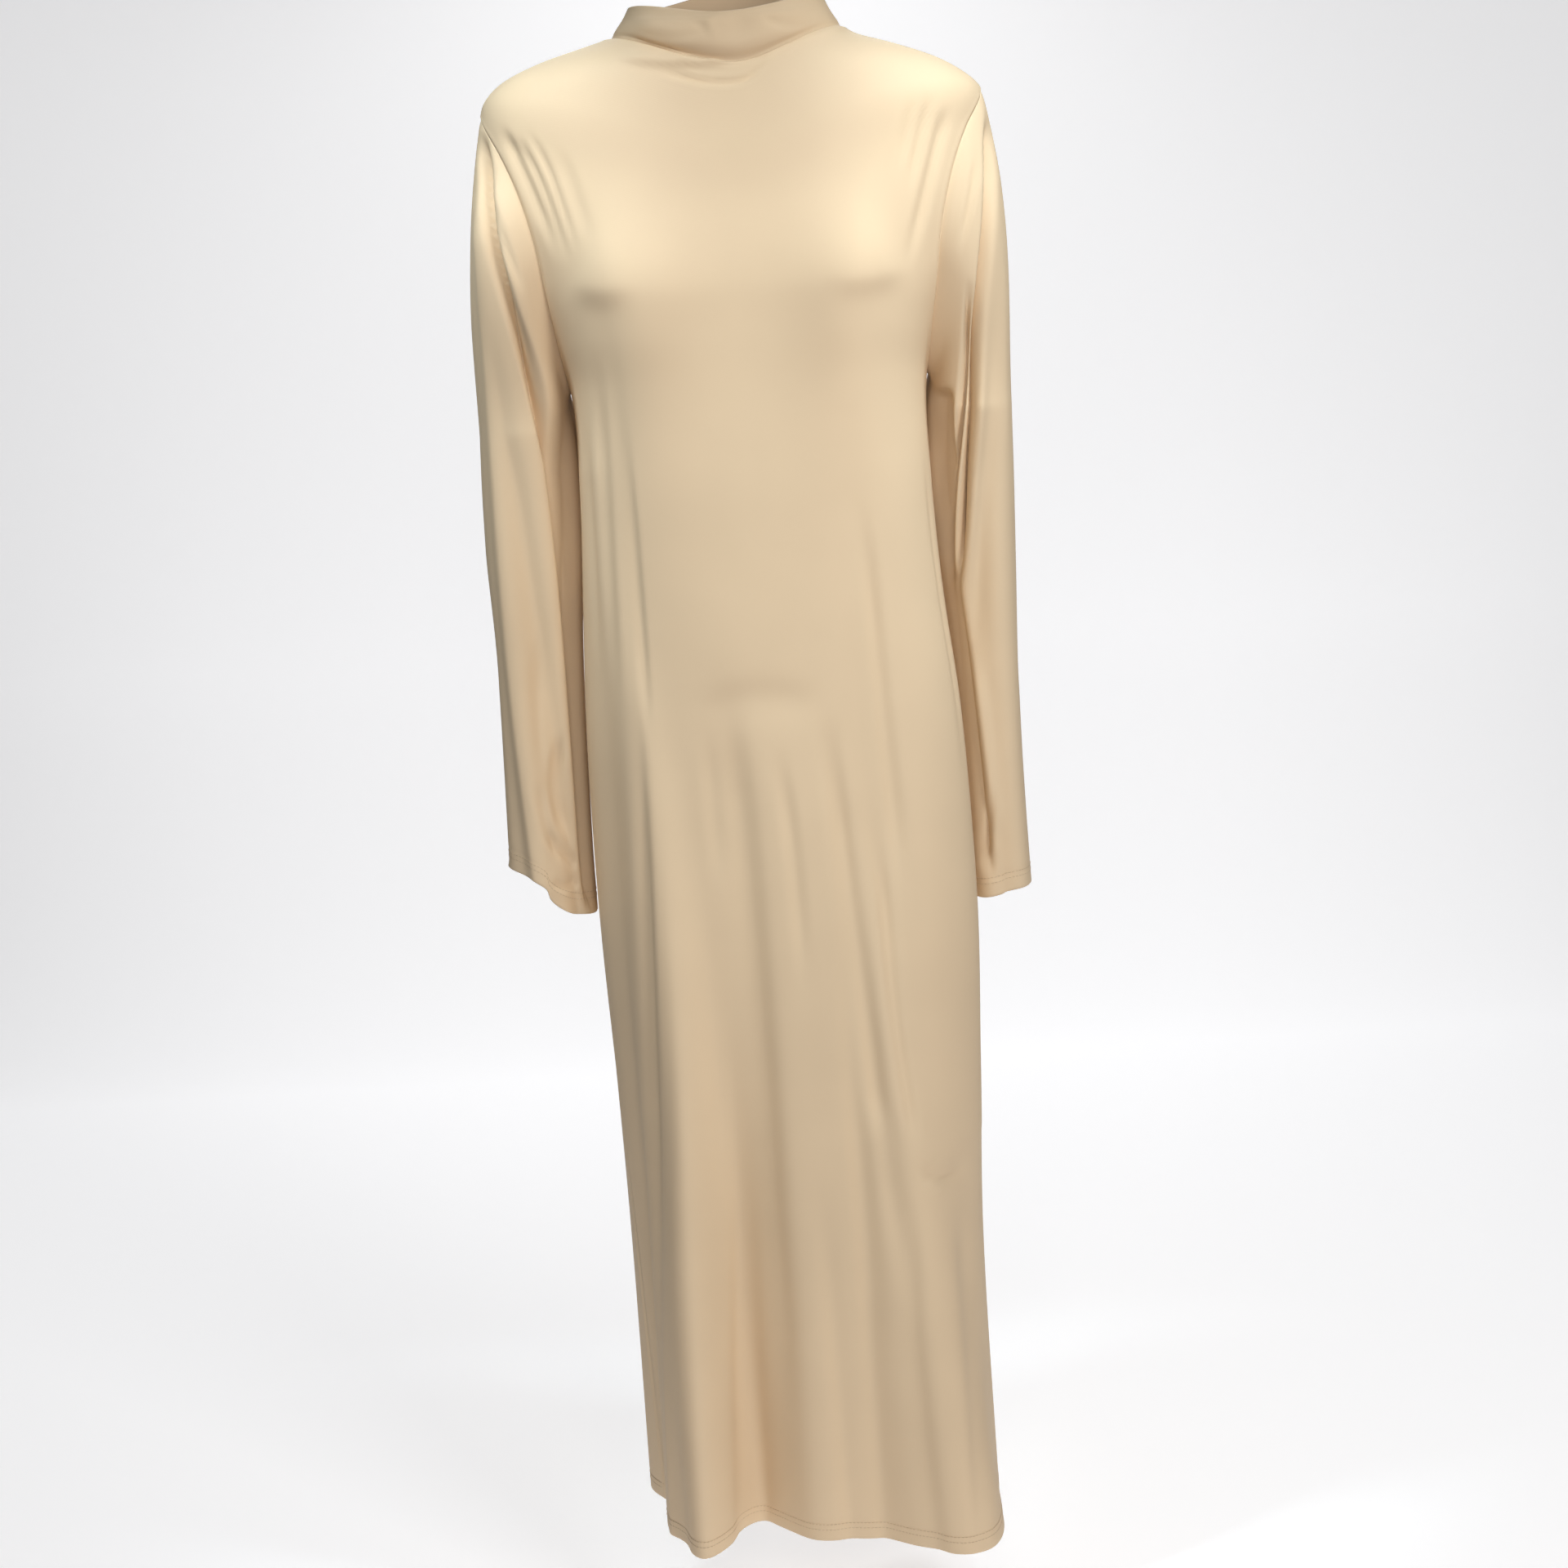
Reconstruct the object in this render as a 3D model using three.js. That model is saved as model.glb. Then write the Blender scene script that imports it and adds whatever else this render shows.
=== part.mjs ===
// Maxi dress with a funnel neck and long set-in sleeves, hollow as it hangs on a standing figure.
// Millimetres, +Z up, +X to the wearer's left, the front faces -Y.
// The origin lies midway between the two high shoulder points, where the neck seam meets the shoulder seams.
import * as THREE from "three";

// ---- driving sizes ----
const WALL = 1.6; // cloth thickness of panels and sleeves
const COLLAR_WALL = 2.2; // the neck band is cloth folded double
const SEAM_GAP = 0.3; // clearance between two pieces at a seam
const SLEEVE_TRIM = 0.45; // the sleeves meet the body at a sharp angle, so their edge is cut back further
const NECK_Z = 0; // neck seam at the high shoulder points
const TIP_Z = -60; // shoulder tip, top of the armhole
const UNDERARM_Z = -305; // bottom of the armhole
const HEM_Z = -1360;
const CAP_END_Z = -340; // where the sleeve cap has turned into a hanging tube

const SHOULDER_ROWS = 5;
const ARMHOLE_ROWS = 12;
const SKIRT_ROWS = 22;
const CAP_ROWS = 6;
const TUBE_ROWS = 11;
const COLLAR_ROWS = 5;

const ARMHOLE_INSET_FRONT = 21; // degrees that the armhole cuts into the front, at its middle
const ARMHOLE_INSET_BACK = 15;
const ARMHOLE_ROUNDNESS = 0.6; // under 1 rounds the top and the bottom of the armhole

const SHOULDER_CROWDING = 1.3; // over 1 sets the shoulder rows closer together near the neck
const MITRE_LEAST = 0.65; // keeps the wall's edge face short where two pieces meet at a sharp angle
const ROW_TOLERANCE = 1e-6;

// Half steps of the differences that give a surface's normals.
const BODY_STEP = { z: 1, angle: 0.5 };
const SLEEVE_STEP = { ring: 4, down: 0.02 };
const COLLAR_STEP = { angle: 0.5, up: 0.03 };

const CLOTH = { color: 0xdec4a0, roughness: 0.55, metalness: 0 };

// Body sections. left, right, front and back are measured from the point (0, sideY); drops say how much
// lower the middle of the front and of the back lies than the sides; square is the superellipse power.
const BODY_COLUMNS = ["z", "left", "right", "front", "back", "sideY", "dropFront", "dropBack", "square"];
const BODY_SECTIONS = [
  [0, 103, 102, 72, 64, 0, 36, 0, 2.0],
  [-8, 132, 115, 79, 72, 0, 43, 6, 2.0],
  [-17, 164, 144, 85, 80, 0, 48, 12, 2.0],
  [-31, 198, 182, 91, 88, 0, 52, 18, 2.05],
  [-46, 216, 208, 96, 94, 0, 53, 22, 2.1],
  [-60, 222, 222, 100, 98, 0, 53, 24, 2.15],
  [-95, 223, 223, 106, 103, 0, 48, 24, 2.2],
  [-150, 214, 215, 114, 113, 0, 34, 18, 2.3],
  [-210, 192, 194, 119, 119, 0, 16, 8, 2.4],
  [-262, 171, 173, 121, 119, 0, 5, 2, 2.5],
  [-305, 159, 162, 121, 117, 0, 0, 0, 2.5],
  [-400, 157, 161, 118, 115, -3, 0, 0, 2.5],
  [-500, 161, 166, 110, 124, -9, 0, 0, 2.45],
  [-600, 165, 176, 101, 139, -16, 0, 0, 2.4],
  [-700, 166, 181, 96, 152, -20, 0, 0, 2.35],
  [-800, 165, 183, 95, 155, -21, 0, 0, 2.35],
  [-940, 160, 179, 97, 151, -19, 0, 0, 2.35],
  [-1100, 155, 174, 103, 144, -14, 0, 0, 2.4],
  [-1360, 150, 177, 108, 138, -10, 0, 0, 2.5],
];

// Fullness of the front over the bust: one soft bump each side that hangs on below its apex.
const BUST = { x: 96, z: -222, out: 17, across: 46, above: 74, below: 150, hang: 0.3, end: 420, taper: 0.5 };

// Folds of the body. Each runs down the cloth from zFrom to zTo while its place goes from angleFrom to
// angleTo (degrees, 0 at the front, 90 at the wearer's left side, 180 at the back). depth is outward when
// positive; grow shapes how it deepens on the way down; fade is the part of its length over which it ends;
// left and right are its half widths in degrees toward smaller and larger angles.
const FOLD_COLUMNS = ["zFrom", "zTo", "angleFrom", "angleTo", "depth", "grow", "fade", "left", "right"];
const BODY_FOLDS = [
  [-420, -1360, -55, -42, 42, 1.4, 0, 9.5, 7], // right-hand front ridge
  [-380, -1360, -66, -82, -20, 0.8, 0, 10, 8], // groove that follows it
  [-620, -1360, -36, -33, -22, 1.4, 0, 6.5, 10], // steep foot of the front valley
  [-540, -1360, -24, -23, -33, 1.3, 0, 13, 15], // wide front valley
  [-700, -1360, 46, 54, 66, 1.5, 0, 15, 14], // full fold over the left shin
  [-330, -900, 39, 49, -5, 0.8, 0.35, 7, 7], // soft band over the left hip
  [-600, -1200, 31, 33, -9, 1, 0.35, 5, 5], // two short folds at the left thigh
  [-720, -1150, 38, 44, -9, 1, 0.3, 4, 4],
  [-230, -620, -50, -53, -5, 0.7, 0.4, 4.5, 4.5], // fold below the bust, right side
  [-560, -1360, -108, -106, 12, 1, 0, 10, 11], // rounded back of the right side
  [-470, -1360, 179, 176, -30, 1.3, 0, 13, 15], // middle of the back
  [-520, -1360, -152, -148, 24, 1.4, 0, 10, 9], // back ridges and the hollows beside them
  [-560, -1360, 148, 142, 28, 1.5, 0, 10, 12],
  [-480, -1360, -124, -121, -16, 1.2, 0, 9, 9],
  [-500, -1360, 112, 116, -15, 1.2, 0, 10, 10],
];

// Sleeve sections, as distances from the middle plane (outer, inner) and depths (front, back). rise is how
// much higher the outer side lies than the middle of the ring, and sag how much lower its front lobe hangs.
const SLEEVE_COLUMNS = ["z", "outer", "inner", "front", "back", "rise", "sag", "square"];
const SLEEVE_RIGHT_SECTIONS = [
  [-340, 241, 161, -48, 70, 0, 0, 2.2],
  [-400, 244, 159.5, -43, 69, 0, 0, 2.2],
  [-480, 246.5, 163, -39, 66, 0, 0, 2.3],
  [-560, 247.5, 167, -36, 64, 3, 1, 2.3],
  [-640, 248, 169, -35, 62, 10, 4, 2.3],
  [-710, 248.5, 170, -35, 60, 20, 2, 2.3],
  [-757, 248.5, 169.5, -37, 60, 27, 3, 2.3],
];
const SLEEVE_LEFT_SECTIONS = [
  [-340, 239, 164, -42, 76, 0, 0, 2.2],
  [-400, 239, 163, -30, 84, 0, 0, 2.2],
  [-480, 238, 168, -20, 90, 0, 0, 2.2],
  [-560, 237, 173.5, -12, 95, 0, 0, 2.3],
  [-640, 237, 177.5, -7, 98, 1, 0, 2.3],
  [-720, 238.5, 180.5, -5, 100, 2, 1, 2.3],
  [-788, 240.5, 181.5, -5, 101, 4, 2, 2.3],
];
const LOBE = { angle: 118, halfWidth: 24 }; // where the low front lobe of a cuff hangs
const CUFF_STEP = 0.5; // under 1 makes the cuff's edge fall in a step across the front, level at the sides

// The cap: x and z of the direction in which it leaves the armhole at its top, and what the middle and the
// underarm add to them; how far front and back lean out; how strongly the cap starts and ends; the upright
// line that its folds turn about and how soon they begin.
const CAP = {
  topX: 0.19, topZ: -0.95, middleX: 0.6, middleZ: 0.5, underX: 0.42, underZ: 0.25, lean: 0.12,
  leave: 0.85, arrive: 0.9, axisX: 205, axisY: 8, foldStart: 1.4,
};

// Folds of the sleeves, with the same columns. 0 is the outer side, 90 the front, 180 the inner side.
const SLEEVE_RIGHT_FOLDS = [
  [-90, -760, 38, 128, -9, 0.5, 0, 17, 12], // long crease from the front of the armhole
  [-250, -760, 48, 40, 4, 0.8, 0, 22, 18], // ridge between the outer and the front face
  [-360, -700, 300, 285, -7, 0.8, 0.3, 20, 20],
  [-120, -420, 262, 232, -7, 0.6, 0.4, 18, 18],
];
const SLEEVE_LEFT_FOLDS = [
  [-110, -620, 40, 112, -8, 0.5, 0.3, 15, 12],
  [-420, -785, 96, 88, -7, 0.8, 0, 20, 16],
  [-360, -740, 298, 286, -6, 0.8, 0.3, 20, 20],
  [-120, -420, 262, 232, -7, 0.6, 0.4, 18, 18],
];

// Neck band: the top edge, its heights, how far it swells between its edges, and the slump at the front.
const COLLAR = {
  left: 86, right: 88, front: 67, back: 58, sideY: 2, square: 2.0,
  topFront: 8, topSide: 25, topBack: 44, swell: 2.5,
  slumpAngle: -12, slumpHalfWidth: 42, slumpIn: 3.5, slumpAt: 0.22, slumpBand: 0.13,
  slumpOut: 3, slumpOutAt: 0.55, slumpOutBand: 0.2, slumpStart: 8, sideBend: 4,
};

// Columns of the front and the back panel: angle at which each run of equal steps ends, and its steps.
const FRONT_RUNS = [[-90, 0], [-62, 5], [-46, 4], [-26, 9], [24, 7], [90, 10]];
const BACK_RUNS = [[90, 0], [130, 6], [230, 12], [270, 6]];

const RAD = Math.PI / 180;
const clamp01 = (t) => Math.min(1, Math.max(0, t));
const smooth = (t) => clamp01(t) ** 2 * (3 - 2 * clamp01(t));
const named = (columns, row) => Object.fromEntries(columns.map((name, i) => [name, row[i]]));

// Smooth curve through every column of a table whose first column falls from row to row.
function sampler(columns, rows) {
  const heights = rows.map((row) => -row[0]);
  const size = columns.length;
  const curve = new THREE.CubicInterpolant(heights, rows.flat(), size, new Array(size));
  return (z) => named(columns, Array.from(curve.evaluate(-z)));
}

const bodySection = sampler(BODY_COLUMNS, BODY_SECTIONS);
const bodyFolds = BODY_FOLDS.map((row) => named(FOLD_COLUMNS, row));

// Distance from the middle of a superellipse to its edge in the direction (across, along).
function reach(across, along, width, depth, square) {
  const sum = Math.abs(across / width) ** square + Math.abs(along / depth) ** square;
  return sum ** (-1 / square);
}

// Signed difference of two angles in degrees, within -180 and 180.
function turn(from, to) {
  return ((((to - from + 180) % 360) + 360) % 360) - 180;
}

// How far the folds lift a point of the cloth, outward positive.
function foldLift(folds, angle, z) {
  let lift = 0;
  for (const fold of folds) {
    const t = clamp01((fold.zFrom - z) / (fold.zFrom - fold.zTo));
    const middle = fold.angleFrom + turn(fold.angleFrom, fold.angleTo) * t;
    const away = turn(middle, angle);
    const spread = Math.exp(-((away / (away < 0 ? fold.left : fold.right)) ** 2));
    const past = z < fold.zTo && fold.fade > 0;
    const ending = past ? 0 : 1 - (fold.fade > 0 ? smooth((t - 1 + fold.fade) / fold.fade) : 0);
    lift += fold.depth * t ** fold.grow * spread * ending;
  }
  return lift;
}

function bustLift(x, z) {
  const above = Math.exp(-(((z - BUST.z) / BUST.above) ** 2));
  const below = BUST.hang + (1 - BUST.hang) * Math.exp(-(((z - BUST.z) / BUST.below) ** 2));
  const down = z > BUST.z ? above : below * (1 - smooth((BUST.z - z) / BUST.end));
  const across = Math.exp(-(((Math.abs(x) - BUST.x) / BUST.across) ** 2));
  return BUST.out * across * down;
}

// Point of the body's outer face: z is the height of its row at the sides, angle goes round from the front.
function bodyPoint(z, angle) {
  const s = bodySection(z);
  const sin = Math.sin(angle * RAD);
  const cos = Math.cos(angle * RAD);
  const width = sin < 0 ? s.left : s.right;
  const depth = cos > 0 ? s.front : s.back;
  const r = reach(sin, cos, width, depth, s.square);
  const outX = (Math.sign(sin) * Math.abs((r * sin) / width) ** (s.square - 1)) / width;
  const outY = (-Math.sign(cos) * Math.abs((r * cos) / depth) ** (s.square - 1)) / depth;
  const out = foldLift(bodyFolds, angle, z) / Math.hypot(outX, outY);
  const forward = cos > 0 ? bustLift(r * sin, z) * cos ** BUST.taper : 0;
  const drop = cos > 0 ? s.dropFront : s.dropBack;
  const x = r * sin + outX * out;
  const y = s.sideY - r * cos + outY * out - forward;
  return new THREE.Vector3(x, y, z - drop * cos * cos);
}

// Unit normal of a surface given by a function of two parameters, pointing out of the garment.
function normalOf(surface, u, v, du, dv, outward) {
  const alongU = surface(u + du[1], v).sub(surface(u - du[0], v));
  const alongV = surface(u, v + dv[1]).sub(surface(u, v - dv[0]));
  return alongU.cross(alongV).multiplyScalar(outward).normalize();
}

function bodyNormal(z, angle) {
  const down = [BODY_STEP.z, BODY_STEP.z];
  return normalOf(bodyPoint, z, angle, down, [BODY_STEP.angle, BODY_STEP.angle], -1);
}

// Angle at which the front (cut = 1) or the back (cut = -1) ends beside the armhole, on the wearer's left.
function armholeAngle(z, cut) {
  const t = clamp01((TIP_Z - z) / (TIP_Z - UNDERARM_Z));
  const inset = cut > 0 ? ARMHOLE_INSET_FRONT : -ARMHOLE_INSET_BACK;
  return 90 - inset * Math.sin(Math.PI * t) ** ARMHOLE_ROUNDNESS;
}

// ---- sleeves ----
// The row of the body that a point of the armhole belongs to, for the ring angle of the sleeve.
const armholeZ = (ring) => TIP_Z + ((UNDERARM_Z - TIP_Z) * (1 - Math.cos(ring * RAD))) / 2;

function armholePoint(side, ring) {
  const z = armholeZ(ring);
  return bodyPoint(z, side * armholeAngle(z, Math.sin(ring * RAD) >= 0 ? 1 : -1));
}

function tubePoint(sleeve, ring, z) {
  const s = sleeve.section(z);
  const cos = Math.cos(ring * RAD);
  const sin = Math.sin(ring * RAD);
  const halfWidth = (s.outer - s.inner) / 2;
  const halfDepth = (s.back - s.front) / 2;
  const r = reach(cos, sin, halfWidth, halfDepth, s.square) + foldLift(sleeve.folds, ring, z);
  const x = (s.outer + s.inner) / 2 + r * cos;
  const y = (s.front + s.back) / 2 - r * sin;
  const lobe = Math.exp(-((turn(LOBE.angle, ring) / LOBE.halfWidth) ** 2));
  const tilt = Math.sign(cos) * Math.abs(cos) ** CUFF_STEP;
  return new THREE.Vector3(sleeve.side * x, y, z + s.rise * tilt - s.sag * lobe);
}

// Direction in which the sleeve leaves the armhole.
function capStart(side, ring) {
  const t = (1 - Math.cos(ring * RAD)) / 2;
  const middle = 4 * t * (1 - t);
  const under = (1 - middle) * t;
  const x = CAP.topX + CAP.middleX * middle + CAP.underX * under;
  const z = CAP.topZ + CAP.middleZ * middle + CAP.underZ * under;
  return new THREE.Vector3(side * x, -CAP.lean * Math.sin(ring * RAD) * middle, z).normalize();
}

// Point of a sleeve: down runs from 0 at the armhole over 1 at the end of the cap to 2 at the cuff.
function sleevePoint(sleeve, ring, down) {
  if (down > 1) return tubePoint(sleeve, ring, CAP_END_Z + (sleeve.cuffZ - CAP_END_Z) * (down - 1));
  const start = armholePoint(sleeve.side, ring);
  const end = tubePoint(sleeve, ring, CAP_END_Z);
  const span = start.distanceTo(end);
  const leave = capStart(sleeve.side, ring).multiplyScalar(span * CAP.leave);
  const arrive = new THREE.Vector3(0, 0, -span * CAP.arrive);
  const t = down;
  const point = start.clone().multiplyScalar(2 * t ** 3 - 3 * t ** 2 + 1);
  point.addScaledVector(leave, t ** 3 - 2 * t ** 2 + t);
  point.addScaledVector(end, -2 * t ** 3 + 3 * t ** 2);
  point.addScaledVector(arrive, t ** 3 - t ** 2);
  const middle = new THREE.Vector3(sleeve.side * CAP.axisX, CAP.axisY, point.z);
  const out = point.clone().sub(middle).setZ(0).normalize();
  const lift = foldLift(sleeve.folds, ring, point.z) * smooth(t * CAP.foldStart) * (1 - smooth(t));
  return point.addScaledVector(out, lift);
}

function sleeveNormal(sleeve, ring, down) {
  const round = [SLEEVE_STEP.ring, SLEEVE_STEP.ring];
  const along = [Math.min(down, SLEEVE_STEP.down), Math.min(2 - down, SLEEVE_STEP.down)];
  return normalOf((r, d) => sleevePoint(sleeve, r, d), ring, down, round, along, sleeve.side);
}

const SLEEVES = {
  right: {
    side: -1,
    section: sampler(SLEEVE_COLUMNS, SLEEVE_RIGHT_SECTIONS),
    folds: SLEEVE_RIGHT_FOLDS.map((row) => named(FOLD_COLUMNS, row)),
    cuffZ: SLEEVE_RIGHT_SECTIONS.at(-1)[0],
  },
  left: {
    side: 1,
    section: sampler(SLEEVE_COLUMNS, SLEEVE_LEFT_SECTIONS),
    folds: SLEEVE_LEFT_FOLDS.map((row) => named(FOLD_COLUMNS, row)),
    cuffZ: SLEEVE_LEFT_SECTIONS.at(-1)[0],
  },
};

// ---- collar ----
// Point of the neck band: up runs from 0 at the neck seam to 1 at the top edge.
function collarPoint(angle, up) {
  const base = bodyPoint(NECK_Z, angle);
  const sin = Math.sin(angle * RAD);
  const cos = Math.cos(angle * RAD);
  const width = sin < 0 ? COLLAR.left : COLLAR.right;
  const r = reach(sin, cos, width, cos > 0 ? COLLAR.front : COLLAR.back, COLLAR.square);
  const middle = cos > 0 ? COLLAR.topFront : COLLAR.topBack;
  const topZ = COLLAR.topSide + (middle - COLLAR.topSide) * cos * cos;
  const top = new THREE.Vector3(r * sin, COLLAR.sideY - r * cos, topZ);
  const slump = Math.exp(-((turn(COLLAR.slumpAngle, angle) / COLLAR.slumpHalfWidth) ** 2));
  const dent = -COLLAR.slumpIn * Math.exp(-(((up - COLLAR.slumpAt) / COLLAR.slumpBand) ** 2));
  const bulge = COLLAR.slumpOut * Math.exp(-(((up - COLLAR.slumpOutAt) / COLLAR.slumpOutBand) ** 2));
  const arch = Math.sin(Math.PI * up) * (COLLAR.swell - COLLAR.sideBend * (1 - Math.abs(cos)));
  const lift = arch + slump * (dent + bulge) * smooth(up * COLLAR.slumpStart);
  return base.lerp(top, up).addScaledVector(new THREE.Vector3(sin, -cos, 0), lift);
}

function collarNormal(angle, up) {
  const round = [COLLAR_STEP.angle, COLLAR_STEP.angle];
  const along = [Math.min(up, COLLAR_STEP.up), Math.min(1 - up, COLLAR_STEP.up)];
  return normalOf(collarPoint, angle, up, round, along, 1);
}

// ---- seams ----
// Offset from the outer to the inner edge of a wall where two pieces meet, along the bisector of both.
function mitre(normalA, normalB, wall) {
  const sum = normalA.clone().add(normalB).normalize();
  return sum.multiplyScalar(wall / Math.max(MITRE_LEAST, sum.dot(normalA)));
}

const neckMitre = (angle) => mitre(bodyNormal(NECK_Z, angle), collarNormal(angle, 0), WALL);

function armholeMitre(side, ring) {
  const sleeve = side > 0 ? SLEEVES.left : SLEEVES.right;
  const z = armholeZ(ring);
  const angle = side * armholeAngle(z, Math.sin(ring * RAD) >= 0 ? 1 : -1);
  return mitre(bodyNormal(z, angle), sleeveNormal(sleeve, ring, 0), WALL);
}

// Moves a seam point into the piece it edges, square to the wall's edge face.
function trimmed(point, next, thickness, amount) {
  const inward = next.clone().sub(point);
  const across = thickness.clone().normalize();
  inward.addScaledVector(across, -inward.dot(across)).normalize();
  return point.clone().addScaledVector(inward, amount);
}

// ---- walls ----
// Closes a grid of outer points and offsets to the inner face into one solid. round joins the last column
// to the first, and flip turns the grid round where its columns run clockwise seen from above.
function wallGeometry(outer, offsets, round, flip) {
  const rows = outer.length;
  const columns = outer[0].length;
  const inner = outer.map((row, i) => row.map((p, j) => p.clone().sub(offsets[i][j])));
  const points = [...outer.flat(), ...inner.flat()];
  const inside = rows * columns;
  const index = [];
  const quad = (a, b, c, d) => index.push(...(flip ? [a, b, c, a, c, d] : [a, c, b, a, d, c]));
  const at = (i, j) => i * columns + (j % columns);
  const steps = round ? columns : columns - 1;
  for (let i = 0; i < rows - 1; i++)
    for (let j = 0; j < steps; j++) {
      quad(at(i, j), at(i, j + 1), at(i + 1, j + 1), at(i + 1, j));
      const [a, b, c, d] = [at(i, j), at(i + 1, j), at(i + 1, j + 1), at(i, j + 1)];
      quad(a + inside, b + inside, c + inside, d + inside);
    }
  // The edge faces are split from the higher outer point, as those of the piece that they face.
  const edge = (a, b, down) => {
    const ring = down ? [b, a, a + inside, b + inside] : [a, a + inside, b + inside, b];
    quad(...ring);
  };
  for (let j = 0; j < steps; j++) {
    const [a, b] = [at(0, j), at(0, j + 1)];
    edge(a, b, points[a].z < points[b].z);
    const [c, d] = [at(rows - 1, j), at(rows - 1, j + 1)];
    edge(d, c, points[d].z < points[c].z);
  }
  for (let i = 0; i < rows - 1 && !round; i++) {
    quad(at(i, 0), at(i + 1, 0), at(i + 1, 0) + inside, at(i, 0) + inside);
    const last = columns - 1;
    quad(at(i, last), at(i, last) + inside, at(i + 1, last) + inside, at(i + 1, last));
  }
  const geometry = new THREE.BufferGeometry().setFromPoints(points);
  geometry.setIndex(index);
  geometry.computeVertexNormals();
  return geometry;
}

function meshOf(name, geometry) {
  const mesh = new THREE.Mesh(geometry, new THREE.MeshStandardMaterial(CLOTH));
  mesh.name = name;
  return mesh;
}

// Heights of the body's rows at the sides: shoulder, armhole, then waist to hem.
function bodyRows() {
  const rows = [];
  for (let i = 0; i < SHOULDER_ROWS; i++)
    rows.push(NECK_Z + (TIP_Z - NECK_Z) * (i / SHOULDER_ROWS) ** SHOULDER_CROWDING);
  for (let i = 0; i <= ARMHOLE_ROWS; i++) rows.push(armholeZ((180 * i) / ARMHOLE_ROWS));
  for (let i = 1; i <= SKIRT_ROWS; i++)
    rows.push(UNDERARM_Z + ((HEM_Z - UNDERARM_Z) * i) / SKIRT_ROWS);
  return rows;
}

function anglesOf(runs) {
  return runs.slice(1).reduce((angles, [end, steps], i) => {
    const start = runs[i][0];
    for (let k = 1; k <= steps; k++) angles.push(start + ((end - start) * k) / steps);
    return angles;
  }, [runs[0][0]]);
}

// Narrows the columns of a row so that it ends at the armhole instead of at the side seam.
function rowAngles(angles, z, cut) {
  const centre = cut > 0 ? 0 : 180;
  const edge = Math.abs(turn(centre, armholeAngle(z, cut)));
  return angles.map((angle) => centre + (angle - centre) * (edge / 90));
}

const betweenTipAndUnderarm = (z) => z < TIP_Z - ROW_TOLERANCE && z > UNDERARM_Z + ROW_TOLERANCE;

// Front (cut = 1) or back (cut = -1) panel.
function panel(name, runs, cut) {
  const rows = bodyRows();
  const columns = anglesOf(runs);
  const last = columns.length - 1;
  const outer = [];
  const offsets = [];
  rows.forEach((z, i) => {
    const angles = rowAngles(columns, z, cut);
    const points = angles.map((angle) => bodyPoint(z, angle));
    const thick = angles.map((angle) => bodyNormal(z, angle).multiplyScalar(WALL));
    if (i === 0) angles.forEach((angle, j) => (thick[j] = neckMitre(angle)));
    if (z <= TIP_Z + ROW_TOLERANCE && z >= UNDERARM_Z - ROW_TOLERANCE) {
      const ring = (180 * (i - SHOULDER_ROWS)) / ARMHOLE_ROWS;
      const first = cut > 0 ? -1 : 1;
      thick[0] = armholeMitre(first, cut > 0 ? ring : -ring);
      thick[last] = armholeMitre(-first, cut > 0 ? ring : -ring);
    }
    if (!betweenTipAndUnderarm(z)) {
      const low = trimmed(points[0], points[1], thick[0], SEAM_GAP / 2);
      const high = trimmed(points[last], points[last - 1], thick[last], SEAM_GAP / 2);
      points[0] = low;
      points[last] = high;
    }
    outer.push(points);
    offsets.push(thick);
  });
  return meshOf(name, wallGeometry(outer, offsets, false, false));
}

function sleeveMesh(name, sleeve) {
  const columns = 2 * ARMHOLE_ROWS;
  const rings = Array.from({ length: columns }, (_, j) => (360 * j) / columns);
  const downs = [];
  for (let i = 0; i <= CAP_ROWS; i++) downs.push(i / CAP_ROWS);
  for (let i = 1; i <= TUBE_ROWS; i++) downs.push(1 + i / TUBE_ROWS);
  const thick = (ring, down) => sleeveNormal(sleeve, ring, down).multiplyScalar(WALL);
  const outer = downs.map((down) => rings.map((ring) => sleevePoint(sleeve, ring, down)));
  const offsets = downs.map((down) => rings.map((ring) => thick(ring, down)));
  offsets[0] = rings.map((ring) => armholeMitre(sleeve.side, ring));
  outer[0] = outer[0].map((point, j) => trimmed(point, outer[1][j], offsets[0][j], SLEEVE_TRIM));
  return meshOf(name, wallGeometry(outer, offsets, true, sleeve.side > 0));
}

function collarMesh(name) {
  const angles = [...anglesOf(FRONT_RUNS).slice(0, -1), ...anglesOf(BACK_RUNS).slice(0, -1)];
  const ups = Array.from({ length: COLLAR_ROWS + 1 }, (_, i) => 1 - i / COLLAR_ROWS);
  const thick = (angle, up) => collarNormal(angle, up).multiplyScalar(COLLAR_WALL);
  const outer = ups.map((up) => angles.map((angle) => collarPoint(angle, up)));
  const offsets = ups.map((up) => angles.map((angle) => thick(angle, up)));
  const seam = ups.length - 1;
  const next = outer[seam - 1];
  offsets[seam] = angles.map((angle) => neckMitre(angle));
  outer[seam] = outer[seam].map((point, j) => trimmed(point, next[j], offsets[seam][j], SEAM_GAP));
  return meshOf(name, wallGeometry(outer, offsets, true, false));
}

const dress = new THREE.Group();
dress.name = "maxi_dress";
dress.add(
  panel("front_panel", FRONT_RUNS, 1),
  panel("back_panel", BACK_RUNS, -1),
  sleeveMesh("sleeve_right", SLEEVES.right),
  sleeveMesh("sleeve_left", SLEEVES.left),
  collarMesh("collar"),
);

export default dress;
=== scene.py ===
"""Maxi dress in sand-coloured stretch jersey, hollow as worn, in a plain pale studio."""

import logging
import math
from dataclasses import dataclass, field
from enum import Enum
from typing import Callable, ClassVar, Iterator, Sequence

import bmesh
import bpy
import numpy as np
from mathutils import Matrix, Vector


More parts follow.
